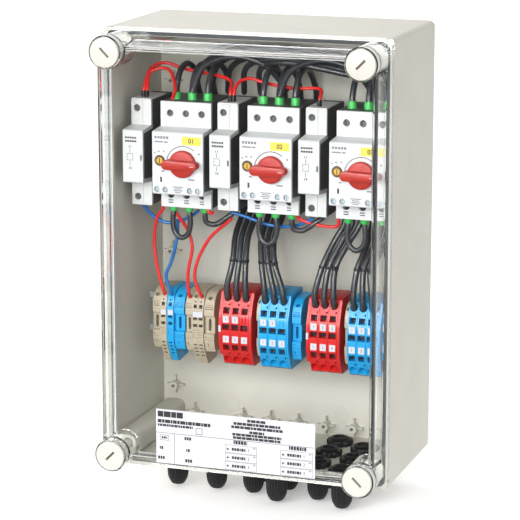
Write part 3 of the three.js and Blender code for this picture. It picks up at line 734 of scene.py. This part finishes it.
def make_knob(index, x, z):
    knob = bmesh.new()
    shaft = [(3.9, 104.6), (3.9, 115.3)]
    disc = [(11.5, 115.3), (11.5, 118.4), (11.2, 119.2), (10.4, 119.8), (9.6, 120)]
    turned(knob, shaft + disc, facing(x, 0, z), 64)
    # The grip is a bar with rounded ends, drawn in a little towards its face.
    edge = stadium((-11.6, 4.2, 90), (12.2, 3.4, -90))
    rings = []
    for depth, inset in ((118.5, 0.0), (125.9, 0.15), (126.35, 0.35), (126.5, 0.75)):
        rings.append([(x + u * (1 - inset / 15.6), -depth, z + w * (1 - inset / 4.0)) for u, w in edge])
    skin(knob, rings)
    finish_piece(f"switch_{index}_red_knob", knob, RED, "red_knob", f"knob_{index}",
                 (f"switch_{index}_knob",), smooth=26)
    line = bmesh.new()
    box(line, (x + 9.6, x + 13.2), (-126.54, -126.2), span(z, 0.25))
    finish_piece(f"switch_{index}_knob_pointer", line, PAPER, "red_knob", f"knob_{index}")


def make_dial(index, x, z):
    ring = bmesh.new()
    turned(ring, [(4.3, 112.4), (4.3, 115.2), (4.0, 115.6)], facing(x, 0, z), 48)
    cutter = bmesh.new()
    turned(cutter, [(2.7, 115.1), (2.7, 118)], facing(x, 0, z), 40)
    ring = combined(ring, cutter)
    finish_piece(f"switch_{index}_dial_ring", ring, BROWN, "setting_dial", f"dial_{index}",
                 (f"switch_{index}_setting_dial",), smooth=40)
    centre = bmesh.new()
    turned(centre, [(2.6, 115.0), (2.6, 115.5), (2.3, 115.6)], facing(x, 0, z), 40)
    slot = bmesh.new()
    box(slot, span(x, 0.45), (-117, -115.15), span(z, 2.1))
    centre = combined(centre, slot)
    finish_piece(f"switch_{index}_dial_centre", centre, AMBER, "setting_dial", f"dial_{index}")
    # Painted shade: a dark sheet on the floor of the centre's slot.
    shadow = bmesh.new()
    box(shadow, span(x, 0.44), (-115.25, -115.1), span(z, 2.0))
    finish_piece(f"switch_{index}_dial_slot_painted_shade", shadow, INK_AND_SLOT_SHADE, "setting_dial", f"dial_{index}")


def make_release(index, x):
    name = f"release_{index}"
    screw_places = [(-3.8, 38), (-3.8, -38)]
    cutter = bmesh.new()
    for u, z in screw_places:
        through(cutter, 3.05, u, z)
    box(cutter, (6.6, 8.0), (-117, -111), (-3.4, 1.4))
    for z in ((22.8, 46), (-46, -22.8)):
        box(cutter, (1.3, 1.55), (-97, -94.5), z)
    shell = combined(front_shell(18, -22.5), cutter)
    on_rail(f"{name}_front_moulding", shell, x, PALE_GREY, "device_front",
            replaces=(f"{name}_front",), bevel=0.35)
    ledge = bmesh.new()
    box(ledge, (-8.8, 8.8), (STEP_Y, -60), (45.05, 46.3))
    on_rail(f"{name}_ledge", ledge, x, PALE_GREY, "device_front", bevel=0.25)
    ink = bmesh.new()
    for k in range(5):
        box(ink, (-6.8 + 2.1 * k, -5.2 + 2.1 * k), PLATE_INK, (15.2, 16.8))
        box(ink, (-6.8 + 2.1 * k, -5.1 + 2.1 * k), PLATE_INK, (12.2, 13.8))
    for z0, z1 in ((3.2, 6.8), (-8.0, -4.2)):
        box(ink, (-2.75, -2.35), PLATE_INK, (z0, z1))
    for i in range(4):
        for z in (-3.4, 2.2):
            box(ink, (-5.2 + 1.4 * i, -4.3 + 1.4 * i), PLATE_INK, (z, z + 0.5))
        for u in (-5.3, -0.2):
            box(ink, (u, u + 0.5), PLATE_INK, (-2.9 + 1.3 * i, -2.1 + 1.3 * i))
    for z, digits in ((8.4, "11"), (-10.0, "14")):
        lettering(ink, digits, 3.0, facing(-2.6, PLATE_Y - 0.03, z), bold=0.06)
    on_rail(f"{name}_print", ink, x, INK_AND_SLOT_SHADE, "gasket")
    # The screws take steel darkened with painted shade.
    make_screws(f"{name}_screws", x, screw_places, [(2.8, 86), (2.8, 89.6), (2.4, 90.2)], 2.1, SCREW, 24)
    # Painted shade at the back of the slot on the right.
    pocket = bmesh.new()
    box(pocket, (6.2, 8.4), (-112.2, -111.5), (-4, 2))
    on_rail(f"{name}_pocket", pocket, x, HOLE_SHADE, "device_body")


for i, x in enumerate(SWITCH_X, 1):
    make_switch(i, x)
    make_release(i, x + RELEASE_SHIFT)


# ---- Rail terminals ----
BACK = -45.3
BLOCK_OUTLINE = [
    (BACK, 33), (-72.5, 33), (-76.5, 31.5), (-84.2, 13), (-85, 10),
    (-85, -11), (-83.8, -16), (-77.5, -31), (-74, -33), (BACK, -33),
]
FEED_OUTLINE = [
    (BACK, 29.5), (-68, 29.5), (-72.5, 28), (-77, 23.5), (-79.2, 18), (-80, 13), (-80, -14),
    (-79, -18.5), (-75.5, -24.5), (-72, -30.5), (-68, -36.3), (-65, -37), (BACK, -35),
]
CLAMP_OUTLINE = [
    (BACK, 29), (-66, 29), (-71, 27.5), (-76, 23), (-78.5, 17.5), (-79.3, 12), (-79.3, 8.6),
    (-76.6, 7.4), (-76.6, -6.4), (-79.3, -7.6), (-79.3, -13), (-77.5, -19.5), (-75.5, -23.5), (BACK, -23.5),
]
PITCH = 8.25
SPRING_PITS = (13.6, -18.6)
COLOURS = {"red": (TERMINAL_RED, "red_terminal"), "blue": (TERMINAL_BLUE, "blue_terminal"),
           "beige": (TERMINAL_BEIGE, "beige_terminal")}


def slanted_hole(bm, radius, x, y, z, side=1):
    """A cutter for a round wire entry at 45 degrees, from above or with side -1 from below."""
    turned(bm, [(radius, -6.5), (radius, 6.5)], tilted(x, y, z, side * radians(45)), 28)


def claws(bm, x0, x1):
    """The hooks that clip a terminal over the lower rail's edges."""
    for side in (1, -1):
        for y0, y1, low, high in ((-46, -40.8, 17.8, 21.8), (-43.7, -40.8, 15.4, 18.8)):
            box(bm, (x0, x1), (y0, y1), sorted((LOWER_Z + side * low, LOWER_Z + side * high)))


def block_pole():
    """One pole of a string terminal: two wire entries, two spring pits, a seat and test holes."""
    body, cutter = bmesh.new(), bmesh.new()
    prism(body, BLOCK_OUTLINE, 0.14, PITCH - 0.14)
    x = PITCH / 2
    for side in (1, -1):
        slanted_hole(cutter, 3.5, x, -78.2, 27 * side, side)
    for z in SPRING_PITS:
        box(cutter, span(x, 2.85), (-87, -76), (z, z + 5.2))
    box(cutter, (0.75, PITCH - 0.75), (-87, -78), (-0.6, 4.6))
    for z in (21.2, -22.0):
        turned(cutter, [(0.85, 90), (0.85, 74)], facing(x + 2.4, 0, z), 14)
    box(cutter, span(x, 2.8), (-87, -84.3), (-13.2, -12.6))
    return combined(body, cutter)


def finish_terminal(node, bm, colour, bevel=0.22):
    material, slot = COLOURS[colour]
    finish_piece(node + "_moulding", bm, material, slot, replaces=(node,), bevel=bevel)


POLE = block_pole()
# Drafts that every terminal adds to.
tags, tag_print, springs, pits = bmesh.new(), bmesh.new(), bmesh.new(), bmesh.new()


def tag(x, z, y=-85.0, width=5.4, height=5.8, digits=None):
    box(tags, (x - width / 2, x + width / 2), (y - 0.7, y + 0.6), (z - height / 2, z + height / 2))
    if digits:
        lettering(tag_print, digits, 3.6, facing(x, y - 0.72, z), 0.04)


def make_block(node, x, colour, upper_tags):
    """Three poles with an end plate; the red ones also have a plate and a tag on their left."""
    lead, end = (2.2, 2.4) if colour == "red" else (0, 1.8)
    block = bmesh.new()
    for i in range(3):
        place_copy(block, POLE, (x + PITCH * i, 0, LOWER_Z))
        centre = x + PITCH * (i + 0.5)
        for z in SPRING_PITS:
            box(springs, span(centre, 1.2), (-76.8, -76.2), (LOWER_Z + z + 0.8, LOWER_Z + z + 2.0))
            # Painted shade at the back of each spring pit, and below at the back of the seat.
            box(pits, span(centre, 2.95), (-76.2, -75.6), (LOWER_Z + z - 0.1, LOWER_Z + z + 5.3))
        box(pits, span(centre, 3.5), (-78.3, -77.8), (LOWER_Z - 0.8, LOWER_Z + 4.8))
        if i < upper_tags:
            tag(centre + 0.4, LOWER_Z + 9.0, digits=str(i + 1))
        else:
            for rib in (centre - 1.6, centre + 1.2):
                box(block, span(rib, 0.4), (-85.7, -84.8), (LOWER_Z + 6.4, LOWER_Z + 11.6))
        tag(centre + 0.4, LOWER_Z - 8.4, digits=str(i + 1))
    if lead:
        outline = [(a, max(b, -23.0)) for a, b in BLOCK_OUTLINE]
        outline = outline[:7] + [(-80.9, -23.0), (BACK, -23.0)]
        prism(block, outline, x - lead, x - 0.1, LOWER_Z)
        box(tags, (x - lead - 0.1, x - lead + 2.0), (-85.6, -84.4), (LOWER_Z - 2.4, LOWER_Z + 3.4))
    width = 3 * PITCH
    prism(block, BLOCK_OUTLINE, x + width + 0.1, x + width + end, LOWER_Z)
    claws(block, x + 1, x + width - 1)
    finish_terminal(node, block, colour, 0.3)


make_block("red_terminal_block_1", -36.9, "red", 2)
make_block("blue_terminal_block_1", -3.1, "blue", 2)
make_block("red_terminal_block_2", 41.7, "red", 3)
make_block("blue_terminal_block_2", 75.5, "blue", 3)
POLE.free()


def make_feed(node, x, poles, pitch, colour):
    body, cutter = bmesh.new(), bmesh.new()
    for i in range(poles):
        x0 = x + pitch * i
        centre = x0 + pitch / 2
        prism(body, FEED_OUTLINE, x0 + 0.07, x0 + pitch - 0.07)
        slanted_hole(cutter, 1.9, centre, -75.7, 25)
        for z, half, rise in ((16.5, 1.5, 1.6), (5.6, 1.9, 1.1), (-0.4, 1.9, 1.3)):
            box(cutter, span(centre, half), (-83, -74), span(z, rise))
        turned(cutter, [(0.75, 84), (0.75, 72)], facing(centre, 0, 20.4), 12)
        for k in range(4):
            z = -17.5 - 3.6 * k
            box(cutter, span(centre, 1.5), (-83, -71 + 1.9 * k), span(z, 0.6))
        for z in (-4.4, -6.4, -8.4, -10.4):
            box(cutter, span(centre, 2.1), (-83, -79.0), span(z, 0.45))
        # Painted shade at the back of the pole's openings.
        box(pits, span(centre, 1.9), (-74.6, -74.1), (LOWER_Z - 2, LOWER_Z + 7))
        box(springs, span(centre, 1.2), (-76.4, -74.2), (LOWER_Z + 15.2, LOWER_Z + 16.8))
        if node != "signal_terminals":
            tag(centre + 0.3, LOWER_Z + 9.6, -80.0, 4.6, 4.6)
    feed = moved(combined(body, cutter), 0, LOWER_Z)
    if node == "signal_terminals":
        tag(x + pitch, LOWER_Z + 9.8, -80.0, 2 * pitch - 1.2, 4.6)
    claws(feed, x + 0.5, x + poles * pitch - 0.5)
    finish_terminal(node, feed, colour)


make_feed("supply_terminal_line", -95, 1, 6.2, "beige")
make_feed("supply_terminal_neutral", -88.5, 1, 6.2, "blue")
make_feed("signal_terminals", -65.1, 2, 5.15, "beige")


def make_clamp(node, x, width, colour):
    body, cutter = bmesh.new(), bmesh.new()
    prism(body, CLAMP_OUTLINE, x, x + width)
    centre = x + width / 2
    if width >= 5:
        slanted_hole(cutter, 1.9, centre, -75.2, 24)
        half = min(1.2, width / 2 - 1.4)
        for z in (4.6, -3.8):
            turned(cutter, [(half, 84), (half, 70)], facing(centre, 0, z), 20)
        box(cutter, span(centre, half), (-80, -70), (-3.8, 4.6))
        for z, floor in ((14.8, -77.2), (16.6, -77.2), (18.4, -77.2), (-10.0, -78.2), (-12.0, -78.2)):
            box(cutter, (x + 0.9, x + width - 0.9), (-82, floor), span(z, 0.5))
        box(cutter, span(centre, 1.4), (-82, -76.6), (-18.6, -16.2))
    else:
        turned(cutter, [(1.2, 84), (1.2, 66)], facing(centre, 0, 24), 20)
    clamp = moved(combined(body, cutter), 0, LOWER_Z)
    claws(clamp, x + 0.4, x + width - 0.4)
    finish_terminal(node, clamp, colour)


for node, x, width, colour in (
    ("supply_end_clamp_left", -101.7, 6.4, "beige"), ("supply_end_clamp_right", -82, 9.2, "blue"),
    ("signal_end_clamp_left", -71.6, 6.2, "beige"), ("signal_end_clamp_right", -54.4, 9, "beige"),
    ("block_end_plate_1", -6.8, 3.4, "beige"), ("block_end_clamp_1", 25, 8, "blue"),
    ("block_end_plate_2", 71.6, 3.6, "beige"), ("block_end_clamp_2", 102.4, 7.2, "blue"),
):
    make_clamp(node, x, width, colour)

finish_piece("terminal_tags", tags, PAPER, "device_front", bevel=0.15)
finish_piece("terminal_tag_print", tag_print, INK_AND_SLOT_SHADE, "gasket")
# The springs take steel darkened with painted shade.
finish_piece("terminal_springs", springs, SCREW, "zinc_rail", bevel=0.1)
# Painted shade for the terminals' pits.
finish_piece("terminal_pit_painted_shade", pits, HOLE_SHADE, "device_body")


# ---- Cable glands ----
def toothed(x, y, teeth, cut, levels):
    """Rings with four points to a tooth. A level is its radius, height and depth of cut."""
    rings = []
    for radius, z, depth in levels:
        radii = [radius - (depth if k % 4 in cut else 0) for k in range(teeth * 4)]
        rings.append([(x + r * cos(t), y + r * sin(t), z) for r, t in zip(radii, around(teeth * 4))])
    return rings


def make_gland(node):
    """A gland at its CAD node's place, in one of two sizes: nut, ribbed cap, thread and locknut."""
    low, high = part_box(node)
    x, y = (low.x + high.x) / 2 / MM, (low.y + high.y) / 2 / MM
    wide = (high.x - low.x) / MM > 25
    nut, dome, thread, length = (14.2, 10.4, 9.9, 27.0) if wide else (11.3, 8.9, 7.9, 25.5)
    wall = -187.8
    stem_top = -176.75
    gland = bmesh.new()
    hexagon = [(nut * 0.93, wall - 5.5), (nut, wall - 5.1), (nut, wall - 0.4), (nut * 0.93, wall)]
    turned(gland, hexagon, upright(x, y, 0), 6)
    tip = wall - length
    skin(gland, toothed(x, y, 24, (0,), (
        (dome + 0.3, wall - 5.0, 0.6), (dome + 0.3, tip + 11, 0.6), (dome, tip + 8, 0.5),
        (dome - 0.5, tip + 5.5, 0.2), (dome - 1.4, tip + 3.5, 0), (dome - 2.6, tip + 1.4, 0),
        (dome - 3.6, tip + 0.3, 0), (dome - 4.2, tip, 0),
    )))
    turns = []
    thread_pitch = 0.9
    z = -183.9
    while z < -176.9:
        turns += [(thread - 0.6, z), (thread, z + thread_pitch / 2)]
        z += thread_pitch
    bore = [(thread - 2.4, stem_top), (thread - 2.6, -180.5)]
    turned(gland, [(thread - 0.6, wall - 1), *turns, (thread - 0.8, stem_top), *bore], upright(x, y, 0), 40)
    lock = nut + 0.2
    skin(gland, toothed(x, y, 12, (0, 1), (
        (lock - 0.4, -183.7, 1.1), (lock, -183.2, 1.1), (lock, -179.4, 1.1), (lock - 0.4, -178.9, 1.1),
    )))
    finish_piece(node + "_body", gland, BLACK, "gland_plastic", replaces=(node,), smooth=38)


for i in range(1, 15):
    make_gland(f"cable_gland_{i:02d}")


# ---- String leads: three in a group, held by a cable tie ----
LEAD_RADIUS = 2.6
JUMPER_RADIUS = 2.3
CONTROL_RADIUS = 1.45
LEAD_SPREAD = 5.8
TIE_Y, TIE_Z = -77, -14


def lead_start(x):
    return [(x, -74.4, -51.2), (x, -78.2, -47.2), (x, -81.0, -43.6), (x, -81.6, -37.5)]


def make_leads(index, block_x, tie_x, route):
    leads = bmesh.new()
    for i in range(3):
        side = LEAD_SPREAD * (i - 1)
        start = lead_start(block_x + PITCH * (i + 0.5))
        tube(leads, [*start, (tie_x + side, TIE_Y, TIE_Z), *route(i, side)], LEAD_RADIUS, 16, 2.5)
    finish_piece(f"string_leads_{index}_wires", leads, WIRE_BLACK, "black_wire",
                 replaces=(f"string_leads_{index}",), smooth=60)
    band, hole = bmesh.new(), bmesh.new()
    for draft, radius, reach in ((band, 3.0, 1.1), (hole, LEAD_RADIUS, 3.3)):
        outline = stadium((LEAD_SPREAD, radius, -90), (-LEAD_SPREAD, radius, 90))
        skin(draft, [[(tie_x + a, TIE_Y + b, z) for a, b in outline] for z in span(TIE_Z, reach)])
    tie = combined(band, hole)
    box(tie, (tie_x + 4.0, tie_x + 7.0), (-81.4, -79.6), span(TIE_Z, 1.5))
    finish_piece(f"string_leads_{index}_tie", tie, BLACK, "gland_plastic", bevel=0.15)


def over_the_top(index, rise_x):
    """Routes up behind the switches and down into the top of one of them."""
    def route(i, side):
        top = SWITCH_X[index] + POLES[i]
        return [
            (rise_x + side, -65, 4), (rise_x + side * 1.1, -46, 19), (rise_x + side * 1.3, -27, 36),
            ((rise_x + top) / 2, -20, 78), (top, -22, 118), (top, -33, 139), (top, -52, 149),
            (top, -70, 145), (top, -79, 131), (top, -79, 122),
        ]
    return route


def to_underside(tie_x, end_x):
    """Routes to the space behind a switch's lower terminals, the same for all three leads."""
    def route(_, side):
        x = end_x + side * 1.15
        return [((tie_x + end_x) / 2 + side * 1.1, -68, 6), (x, -62, 22), (x, -62, 33)]
    return route


make_leads(1, -36.9, -23, over_the_top(0, -25))
make_leads(2, -3.1, 2.8, over_the_top(1, -1.5))
make_leads(3, 41.7, 56.8, to_underside(56.8, 72.5))
make_leads(4, 75.5, 87.4, over_the_top(2, 91.8))


# ---- Wire ends: green ferrules on the switches, black sleeves on the releases ----
def make_wire_ends():
    upper = [(3.8, 118.5), (3.9, 119.5), (3.75, 127.8), (3.5, 128.6), (2.8, 128.8)]
    lower = [(2.8, 27.8), (3.1, 28.4), (3.6, 30.2), (3.6, 33.5)]
    ferrules = bmesh.new()
    for x in SWITCH_X:
        for pole in POLES:
            turned(ferrules, upper, upright(x + pole, -79, 0), 32)
            turned(ferrules, lower, upright(x + pole, -88, 0), 32)
    finish_piece("wire_ferrules", ferrules, GREEN, "device_front", smooth=40)
    sleeves = bmesh.new()
    for x in (-105.4, -102.6, -27.8, -24.6, 50.5):
        turned(sleeves, [(1.9, 123.6), (2.0, 124.2), (2.0, 128.4), (1.6, 129.2)], upright(x, -86, 0), 20)
    finish_piece("wire_sleeves", sleeves, BLACK, "gland_plastic")


# ---- Knock-outs moulded in the back wall ----
def make_knock_outs():
    rings, holes = bmesh.new(), bmesh.new()
    for x, z in KNOCKOUTS:
        turned(rings, [(6.9, 3.3), (6.9, 3.65), (6.7, 3.8)], facing(x, 0, z), 56)
        turned(holes, [(6.2, 3.0), (6.2, 4.5)], facing(x, 0, z), 56)
    finish_piece("knock_out_rings", combined(rings, holes), CASE, "enclosure_plastic")


# ---- Internal wiring ----
RED_ROUTES = (
    # From the first switch's underside to the supply terminals.
    [(-87.5, -90, 39), (-89, -86, 27.6), (-94, -84, 22), (-99.3, -80, 0.7), (-97.7, -80, -19.4),
     (-94.2, -80, -35.3), (-91.2, -79, -46.2), (-91.9, -74, -51)],
    # To the signal terminals.
    [(-77.5, -86, 26.7), (-67.6, -80, 7.8), (-64.6, -80, -4.8), (-68.8, -80, -28.9), (-68.3, -78, -47.9),
     (-68.5, -73, -52)],
    [(-27.2, -84, 23.7), (-50.8, -80, 1.2), (-62.6, -80, -29), (-57.4, -78, -47.5), (-57.4, -73, -51)],
    # Short links below the switches.
    [(-49.3, -90, 37.3), (-44, -90, 27.8), (-42.1, -88, 28.7)],
    [(29.9, -90, 35.1), (33.7, -86, 27.7), (66.1, -84, 23.6), (68.1, -88, 35.3)],
    # From release to release over the top.
    [(-105.4, -86, 125), (-105.2, -85, 131), (-104, -70, 146.4), (-95.7, -62, 150), (-77.7, -60, 145.3),
     (-32.6, -72, 139.1), (-28.0, -84, 132), (-27.8, -86, 125)],
    [(-24.6, -86, 125), (-24.6, -84, 132), (-22.8, -76, 139.1), (-14.9, -70, 141.4), (-5.5, -68, 138.5),
     (22.1, -72, 135.3), (48.5, -76, 136), (50.5, -85, 130), (50.5, -86, 125)],
    [(-102.6, -86, 125), (-102.7, -84, 131), (-103.4, -74, 143.5), (-89.9, -70, 146.3),
     (-77.4, -84, 131.9), (-76.6, -93, 124)],
)
BLUE_ROUTES = (
    [(-78.4, -80, 18.4), (-77.8, -80, 7.1), (-83.7, -80, -18.3), (-88.8, -80, -31.9), (-84.5, -79, -46.2),
     (-85.4, -74, -51)],
    [(-106.5, -88, 31.2), (-99.3, -84, 21.7), (-86.9, -80, 15.1), (-67.6, -80, 20.9), (-57.6, -82, 28.1)],
    [(-27.6, -84, 28.9), (-16.4, -82, 25.8), (8, -80, 19), (30, -82, 21), (46, -86, 29)],
)


def make_control_wires(name, routes, material, slot):
    wires = bmesh.new()
    for points in routes:
        tube(wires, points, CONTROL_RADIUS, 12)
    finish_piece(name, wires, material, slot, smooth=60)


def make_jumpers():
    wires = bmesh.new()
    # A U from the first to the second pole under each switch.
    for i in range(3):
        x = SWITCH_PITCH * i - 78.1
        tube(wires, [(x, -88, 27.9), (x - 0.9, -88, 17), (x + 1.6, -88, 8.2), (x + 7.1, -88, 4.6),
                     (x + 12.6, -88, 8.2), (x + 15, -88, 17), (x + 14.1, -88, 27.9)], JUMPER_RADIUS, 14)
    # From the third pole to behind the next release.
    for i in range(2):
        x = SWITCH_PITCH * i - 49.9
        tube(wires, [(x, -88, 27.9), (x + 0.9, -87, 19.5), (x + 7.9, -85, 17.6), (x + 18.9, -84, 24.5),
                     (x + 25.9, -80, 30)], JUMPER_RADIUS, 14)
    # Loops that cross behind the tops of the switches.
    for k in range(5):
        tube(wires, [(-80 + 15 * k, -30, 122), (-70 + 14 * k, -36 - 3 * k, 146),
                     (-34 + 11 * k, -44 - 5 * k, 163 - 2 * k), (16 + 9 * k, -42 - 5 * k, 162 - 3 * k),
                     (62 + 8 * k, -36 - 4 * k, 150 - 3 * k), (88 + 4 * k, -30 - 3 * k, 122)], LEAD_RADIUS, 14)
    for x in (-55, 22):
        tube(wires, [(x - 6, -88, 130), (x, -76, 150), (x + 22, -62, 158), (x + 48, -54, 150),
                     (x + 64, -44, 128)], LEAD_RADIUS, 14)
    finish_piece("black_jumper_wires", wires, WIRE_BLACK, "black_wire", smooth=60)


make_wire_ends()
make_knock_outs()
make_control_wires("red_control_wires", RED_ROUTES, WIRE_RED, "red_knob")
make_control_wires("blue_control_wires", BLUE_ROUTES, WIRE_BLUE, "blue_terminal")
make_jumpers()


# ---- Studio ----
def make_floor():
    """A sheet of paper that lies under the glands and curves up far behind the object."""
    height, bend_y, bend = -0.2165, 1.6, 1.2
    outline = [(-0.25, height)]
    for degrees in range(0, 91, 6):
        t = radians(degrees)
        outline.append((bend_y + bend * sin(t), height + bend * (1 - cos(t))))
    outline.append((bend_y + bend, 3.4))
    bm = bmesh.new()
    rows = [[bm.verts.new((x, y, z)) for y, z in outline] for x in (-3.5, 3.5)]
    for i in range(len(outline) - 1):
        bm.faces.new((rows[0][i], rows[0][i + 1], rows[1][i + 1], rows[1][i]))
    mesh = bpy.data.meshes.new("studio_floor")
    bm.to_mesh(mesh)
    bm.free()
    mesh.shade_smooth()
    paper = plastic("studio_paper", (250, 250, 250), rough=0.9, shade=0.01, grain=0.05)
    shader = paper.node_tree.nodes["Principled BSDF"]
    shader.inputs["Emission Color"].default_value = (1, 1, 1, 1)
    shader.inputs["Emission Strength"].default_value = 0.2
    mesh.materials.append(paper)
    add_object("studio_floor", mesh)


def area_light(name, location, target, size, power, diffuse=1.0):
    light = add_object(name, bpy.data.lights.new(name, "AREA"))
    light.data.shape = "SQUARE"
    light.data.size = size
    light.data.energy = power
    light.data.diffuse_factor = diffuse
    light.location = location
    light.rotation_mode = "QUATERNION"
    light.rotation_quaternion = (Vector(target) - Vector(location)).to_track_quat("-Z", "Y")


def make_world():
    """A white sky, dark in the one direction that the flat cover would mirror to the camera."""
    world = bpy.data.worlds.new("studio_sky")
    world.use_nodes = True
    scene.world = world
    nodes, links = world.node_tree.nodes, world.node_tree.links
    background = nodes["Background"]
    background.inputs["Color"].default_value = (1, 1, 1, 1)
    place = nodes.new("ShaderNodeTexCoord")
    towards = nodes.new("ShaderNodeVectorMath")
    towards.operation = "DOT_PRODUCT"
    towards.inputs[1].default_value = (-0.318, -0.921, -0.223)
    links.new(place.outputs["Generated"], towards.inputs[0])
    dim = nodes.new("ShaderNodeMapRange")
    dim.inputs["From Min"].default_value = 0.86
    dim.inputs["From Max"].default_value = 0.965
    dim.inputs["To Min"].default_value = 0.57
    dim.inputs["To Max"].default_value = 0.05
    links.new(towards.outputs["Value"], dim.inputs["Value"])
    path = nodes.new("ShaderNodeLightPath")
    seen = nodes.new("ShaderNodeMath")
    seen.operation = "MAXIMUM"
    links.new(path.outputs["Is Camera Ray"], seen.inputs[0])
    links.new(dim.outputs["Result"], seen.inputs[1])
    links.new(seen.outputs["Value"], background.inputs["Strength"])


make_floor()
make_world()
area_light("key_light", (-0.8, -2.2, 0.72), (0, 0, 0), 1.0, 36)
area_light("front_light", (0.45, -2.5, 0.64), (0, 0, 0), 1.0, 43)
area_light("rim_light", (-0.72, 1.25, 1.6), (0, 0, 0.1), 1.0, 13, 0.15)
